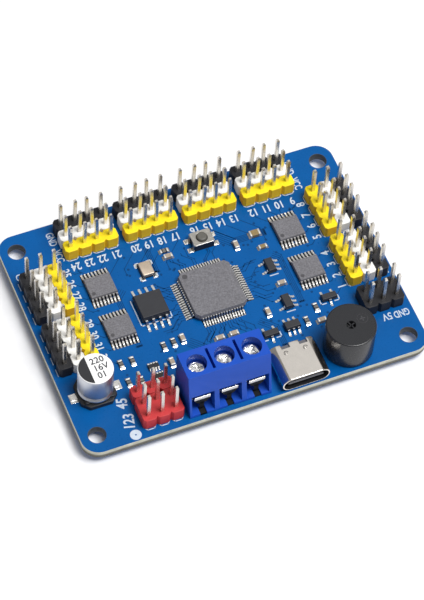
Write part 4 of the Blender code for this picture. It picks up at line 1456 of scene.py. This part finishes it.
class SERVO_BOARD_OT_switch(bpy.types.Operator):
    """Finishes the push switch: base, cover with its legs, and button"""

    bl_idname = "servo_board.switch"
    bl_label = "Push switch"

    def execute(self, context):
        finish_piece("switch_moulded_base", dressed_copy("switch_base", 0.06 * MM), [black_plastic()],
                     stands_for=["switch_base"])
        low, high = corners("switch_cover")
        spot = middle("switch_cover")
        button = middle("switch_button")
        bm = bmesh.new()
        half_x = (high.x - low.x) / 2 - 0.8 * MM
        half_y = (high.y - low.y) / 2
        near = (spot.x - half_x + 0.05 * MM, spot.y - half_y)
        far = (spot.x + half_x - 0.05 * MM, spot.y + half_y)
        plate = rounded(near, far, 0.35 * MM, 5)
        radius = 1.05 * MM
        add_plate(bm, [plate, circle(button, radius, 40)], high.z - 0.16 * MM, high.z, 0, 0.06 * MM)
        for side in (-1, 1):
            for y in (-1, 1):
                root = spot.x + side * (half_x - 0.12 * MM)
                y0 = spot.y + y * 1.0 * MM
                # The leg's upright, its foot and its solder: reach, half width, heights, edge, finish.
                for reach, half, under, over, edge, finish in (
                    (0.02 * MM, 0.35 * MM, TOP + 0.05 * MM, high.z - 0.05 * MM, 0.04 * MM, 0),
                    (0.75 * MM, 0.35 * MM, TOP + 0.05 * MM, TOP + 0.2 * MM, 0.05 * MM, 0),
                    (1.0 * MM, 0.5 * MM, TOP - COPPER, TOP + 0.08 * MM, 0.03 * MM, 1),
                ):
                    left, right = sorted((root, spot.x + side * (half_x + reach)))
                    add_block(bm, (left, y0 - half, under), (right, y0 + half, over), edge, finish)
        bmesh.ops.recalc_face_normals(bm, faces=bm.faces)
        finish_piece(
            "switch_stamped_cover", bm, [cover_steel(), solder()], stands_for=["switch_cover"]
        )
        low, high = corners("switch_button")
        stem = 0.95 * MM
        flange = (high.x - low.x) / 2
        bm = bmesh.new()
        add_turned(bm, button, [
            (0.0, high.z), (stem - 0.4 * MM, high.z), (stem - 0.22 * MM, high.z),
            (stem - 0.08 * MM, high.z - 0.05 * MM),
            (stem, high.z - 0.18 * MM), (stem, low.z + 0.3 * MM), (flange, low.z + 0.3 * MM),
            (flange, low.z), (0.0, low.z),
        ], 0, 48)
        bmesh.ops.recalc_face_normals(bm, faces=bm.faces)
        finish_piece(
            "switch_moulded_button", bm, [button_plastic()], "button", ["switch_button"], 40
        )
        return {"FINISHED"}


# Each kind of chip part: length, width and height (mm), and the finish of its body.
CHIP_PART_KINDS = {
    "lamp": (2.0, 1.25, 0.75, lamp_resin),
    "lamp_small": (1.6, 0.8, 0.6, lamp_resin),
    "ceramic": (1.6, 0.85, 0.8, tan_ceramic),
    "resistor": (1.6, 0.8, 0.45, resistor_glaze),
    "array": (2.0, 1.25, 0.5, black_plastic),
}

# Chip parts: place from the board's middle (mm), quarter turns, kind.
CHIP_PARTS = (
    (12.06, 9.02, 0, "lamp"),
    (7.95, 7.85, 1, "ceramic"),
    (12.35, 5.9, 0, "lamp_small"),
    (12.45, -2.6, 0, "ceramic"),
    (7.78, -7.47, 1, "ceramic"),
    (16.24, -9.36, 1, "resistor"),
    (13.61, -11.44, 1, "resistor"),
    (16.1, -12.37, 0, "ceramic"),
    (-4.64, 11.24, 0, "resistor"),
    (-4.45, 9.75, 0, "ceramic"),
    (-12.08, -7.64, 1, "resistor"),
    (-10.18, -7.46, 1, "resistor"),
    (-8.47, -7.34, 1, "ceramic"),
    (-20.48, -8.51, 1, "resistor"),
    (-18.35, -8.55, 1, "resistor"),
    (-20.52, -12.48, 1, "resistor"),
    (-18.26, -12.89, 1, "resistor"),
    (0.4, -9.58, 0, "ceramic"),
    (-2.26, -9.58, 0, "ceramic"),
    (-12.01, -11.27, 1, "ceramic"),
    (-15.32, -10.9, 0, "array"),
    (-15.02, -13.1, 0, "array"),
)


class SERVO_BOARD_OT_chip_parts(bpy.types.Operator):
    """Places the chip resistors, capacitors, networks and lamps on their solder"""

    bl_idname = "servo_board.chip_parts"
    bl_label = "Chip parts"

    def execute(self, context):
        for n, (x, y, quarter, kind) in enumerate(CHIP_PARTS):
            length, width, height, body = CHIP_PART_KINDS[kind]
            half, side, top = length / 2 * MM, width / 2 * MM, SEAT + height * MM
            cap = 0.36 * MM
            bm = bmesh.new()
            near, far = (-half + cap, -side + 0.02 * MM), (half - cap, side - 0.02 * MM)
            add_block(bm, (*near, SEAT), (*far, top - 0.02 * MM), 0.02 * MM, 0)
            for end in (-1, 1):
                x0, x1 = sorted((end * (half - cap), end * half))
                # A near-black band between the glaze and each end cap: painted shade in the gap between them.
                if kind == "resistor":
                    line = sorted((end * (half - cap - 0.02 * MM), end * (half - cap - 0.2 * MM)))
                    add_block(bm, (line[0], -side, SEAT), (line[1], side, top - 0.005 * MM), 0.02 * MM, 3)
                if kind == "array":
                    for row in range(4):
                        y0 = (row - 1.5) * 0.5 * MM
                        u0, u1 = y0 - 0.16 * MM, y0 + 0.16 * MM
                        v0, v1 = sorted((end * (side - 0.2 * MM), end * (side + 0.03 * MM)))
                        add_block(bm, (u0, v0, SEAT), (u1, v1, top + 0.01 * MM), 0.03 * MM, 1)
                        v0, v1 = sorted((end * side, end * (side + 0.35 * MM)))
                        add_block(bm, (u0, v0, TOP - COPPER), (u1, v1, TOP + 0.15 * MM), 0.05 * MM, 2)
                    continue
                add_block(bm, (x0, -side, SEAT - 0.02 * MM), (x1, side, top), 0.09 * MM, 1, 3)
                # The fillet of solder that climbs the end of the part from its pad.
                pad = end * (half + 0.26 * MM)
                p0, p1 = sorted((end * (half - 0.2 * MM), pad))
                near, far = (p0, -side - 0.06 * MM, TOP - COPPER), (p1, side + 0.06 * MM, TOP + 0.09 * MM)
                add_block(bm, near, far, 0.04 * MM, 2)
                for vert in bm.verts:
                    upper = TOP + 0.05 * MM < vert.co.z < TOP + 0.1 * MM
                    if upper and abs(vert.co.x - end * (half - 0.2 * MM)) < 0.1 * MM:
                        vert.co.z += 0.12 * MM
            if kind == "array":
                near, far = (-half + 0.05 * MM, -side + 0.2 * MM), (half - 0.05 * MM, side - 0.2 * MM)
                add_block(bm, (*near, SEAT), (*far, top), 0.03 * MM, 0)
            turn = Matrix.Translation((x * MM, y * MM, 0)) @ Matrix.Rotation(quarter * math.pi / 2, 4, "Z")
            bmesh.ops.transform(bm, matrix=turn, verts=bm.verts)
            finish_piece(f"chip_part_{n + 1}", bm, [body(), chip_end(), solder(), black_plastic()])
        return {"FINISHED"}


class SERVO_BOARD_OT_solder(bpy.types.Operator):
    """Puts a cone of solder round each pin under the board"""

    bl_idname = "servo_board.solder"
    bl_label = "Solder joints"

    def execute(self, context):
        bm = bmesh.new()
        spots = []
        for group in GROUPS:
            for job in JOBS:
                spots += strip_pins(f"{group}_{job}")[0]
        for name, _ in HEADERS:
            spots += header_cells(name)[0]
        for n in (1, 2, 3):
            spots.append(middle(f"terminal_screw_{n}"))
        low = BOARD_LOW.z
        for spot in spots:
            profile = [
                (0.95 * MM, low + 0.01 * MM), (0.9 * MM, low - 0.08 * MM), (0.6 * MM, low - 0.3 * MM),
                (0.44 * MM, low - 0.75 * MM), (0.2 * MM, low - 0.85 * MM),
            ]
            add_turned(bm, spot, profile, 0, 12)
        bmesh.ops.recalc_face_normals(bm, faces=bm.faces)
        finish_piece("solder_joints", bm, [solder()])
        return {"FINISHED"}


class SERVO_BOARD_OT_stage(bpy.types.Operator):
    """Lays the floor, hangs the lights and sets the camera"""

    bl_idname = "servo_board.stage"
    bl_label = "Stage"

    def execute(self, context):
        scene = context.scene
        side = sizes().floor_side / 2
        bm = bmesh.new()
        bmesh.ops.create_grid(bm, x_segments=1, y_segments=1, size=side)
        mesh = bpy.data.meshes.new("floor")
        bm.to_mesh(mesh)
        bm.free()
        # Matt white paper, with the faint mottle of its pulp.
        mesh.materials.append(surface("White matt paper", linear("F6F6F8"), 0.9, 40.0, 0.01, 1.0, 0.01, 0.01))
        floor = bpy.data.objects.new("floor", mesh)
        scene.collection.objects.link(floor)
        world = bpy.data.worlds.new("White studio")
        world.use_nodes = True
        world.node_tree.nodes["Background"].inputs["Color"].default_value = (1.0, 1.0, 1.0, 1.0)
        world.node_tree.nodes["Background"].inputs["Strength"].default_value = 0.27
        scene.world = world
        aim = Vector((0, 0, TOP))
        for name, place, size, power in (
            ("key_softbox", (0.28, -0.22, 0.93), 0.5, 10.4),
            ("back_card", (0.28, 0.57, 0.95), 0.6, 0.6),
        ):
            lamp = bpy.data.lights.new(name, "AREA")
            lamp.shape = "SQUARE"
            lamp.size = size
            lamp.energy = power
            light = bpy.data.objects.new(name, lamp)
            light.location = place
            light.rotation_euler = (aim - Vector(place)).to_track_quat("-Z", "Y").to_euler()
            scene.collection.objects.link(light)
        # The camera: an azimuth, an elevation and a small roll about a point on the board.
        lens = bpy.data.cameras.new("camera")
        lens.sensor_fit = "HORIZONTAL"
        lens.sensor_width = 36.0
        lens.lens = 230.89
        lens.clip_start = 0.01
        lens.clip_end = 20.0
        camera = bpy.data.objects.new("camera", lens)
        azimuth, elevation, roll = (math.radians(a) for a in (-26.01, 56.3, 4.72))
        distance = 482.75 * MM
        aim = Vector((-0.452 * MM, -1.417 * MM, TOP))
        away = Vector(
            (
                math.sin(azimuth) * math.cos(elevation),
                -math.cos(azimuth) * math.cos(elevation),
                math.sin(elevation),
            )
        )
        right = (-away).cross(Vector((0, 0, 1))).normalized()
        up = right.cross(-away)
        turned_right = math.cos(roll) * right + math.sin(roll) * up
        turned_up = math.cos(roll) * up - math.sin(roll) * right
        spin = Matrix((turned_right, turned_up, away)).transposed().to_4x4()
        camera.matrix_world = Matrix.Translation(aim + away * distance) @ spin
        scene.collection.objects.link(camera)
        scene.camera = camera
        scene.view_settings.view_transform = "Standard"
        return {"FINISHED"}


PIECES = (
    SERVO_BOARD_OT_board,
    SERVO_BOARD_OT_traces,
    SERVO_BOARD_OT_legend,
    SERVO_BOARD_OT_strips,
    SERVO_BOARD_OT_headers,
    SERVO_BOARD_OT_terminal,
    SERVO_BOARD_OT_usb,
    SERVO_BOARD_OT_buzzer,
    SERVO_BOARD_OT_capacitor,
    SERVO_BOARD_OT_chips,
    SERVO_BOARD_OT_crystal,
    SERVO_BOARD_OT_switch,
    SERVO_BOARD_OT_chip_parts,
    SERVO_BOARD_OT_solder,
    SERVO_BOARD_OT_stage,
)


class SERVO_BOARD_PT_panel(bpy.types.Panel):
    """Lists the pieces of the servo driver board and their settings"""

    bl_idname = "SERVO_BOARD_PT_panel"
    bl_label = "Servo driver board"
    bl_space_type = "VIEW_3D"
    bl_region_type = "UI"
    bl_category = "Servo board"

    def draw(self, context):
        layout = self.layout
        for settings in (context.scene.servo_board_colours, context.scene.servo_board_sizes):
            box = layout.box()
            for name in settings.__annotations__:
                box.prop(settings, name)
        for piece in PIECES:
            layout.operator(piece.bl_idname)


CLASSES = (ServoBoardColours, ServoBoardSizes, *PIECES, SERVO_BOARD_PT_panel)


def register():
    for cls in CLASSES:
        bpy.utils.register_class(cls)
    bpy.types.Scene.servo_board_colours = bpy.props.PointerProperty(type=ServoBoardColours)
    bpy.types.Scene.servo_board_sizes = bpy.props.PointerProperty(type=ServoBoardSizes)


def unregister():
    del bpy.types.Scene.servo_board_sizes
    del bpy.types.Scene.servo_board_colours
    for cls in reversed(CLASSES):
        bpy.utils.unregister_class(cls)


def main():
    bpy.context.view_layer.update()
    register()
    bpy.ops.servo_board.board()
    bpy.ops.servo_board.traces()
    bpy.ops.servo_board.legend()
    bpy.ops.servo_board.strips()
    bpy.ops.servo_board.headers()
    bpy.ops.servo_board.terminal()
    bpy.ops.servo_board.usb()
    bpy.ops.servo_board.buzzer()
    bpy.ops.servo_board.capacitor()
    bpy.ops.servo_board.chips()
    bpy.ops.servo_board.crystal()
    bpy.ops.servo_board.switch()
    bpy.ops.servo_board.chip_parts()
    bpy.ops.servo_board.solder()
    bpy.ops.servo_board.stage()


if __name__ == "__main__":
    main()
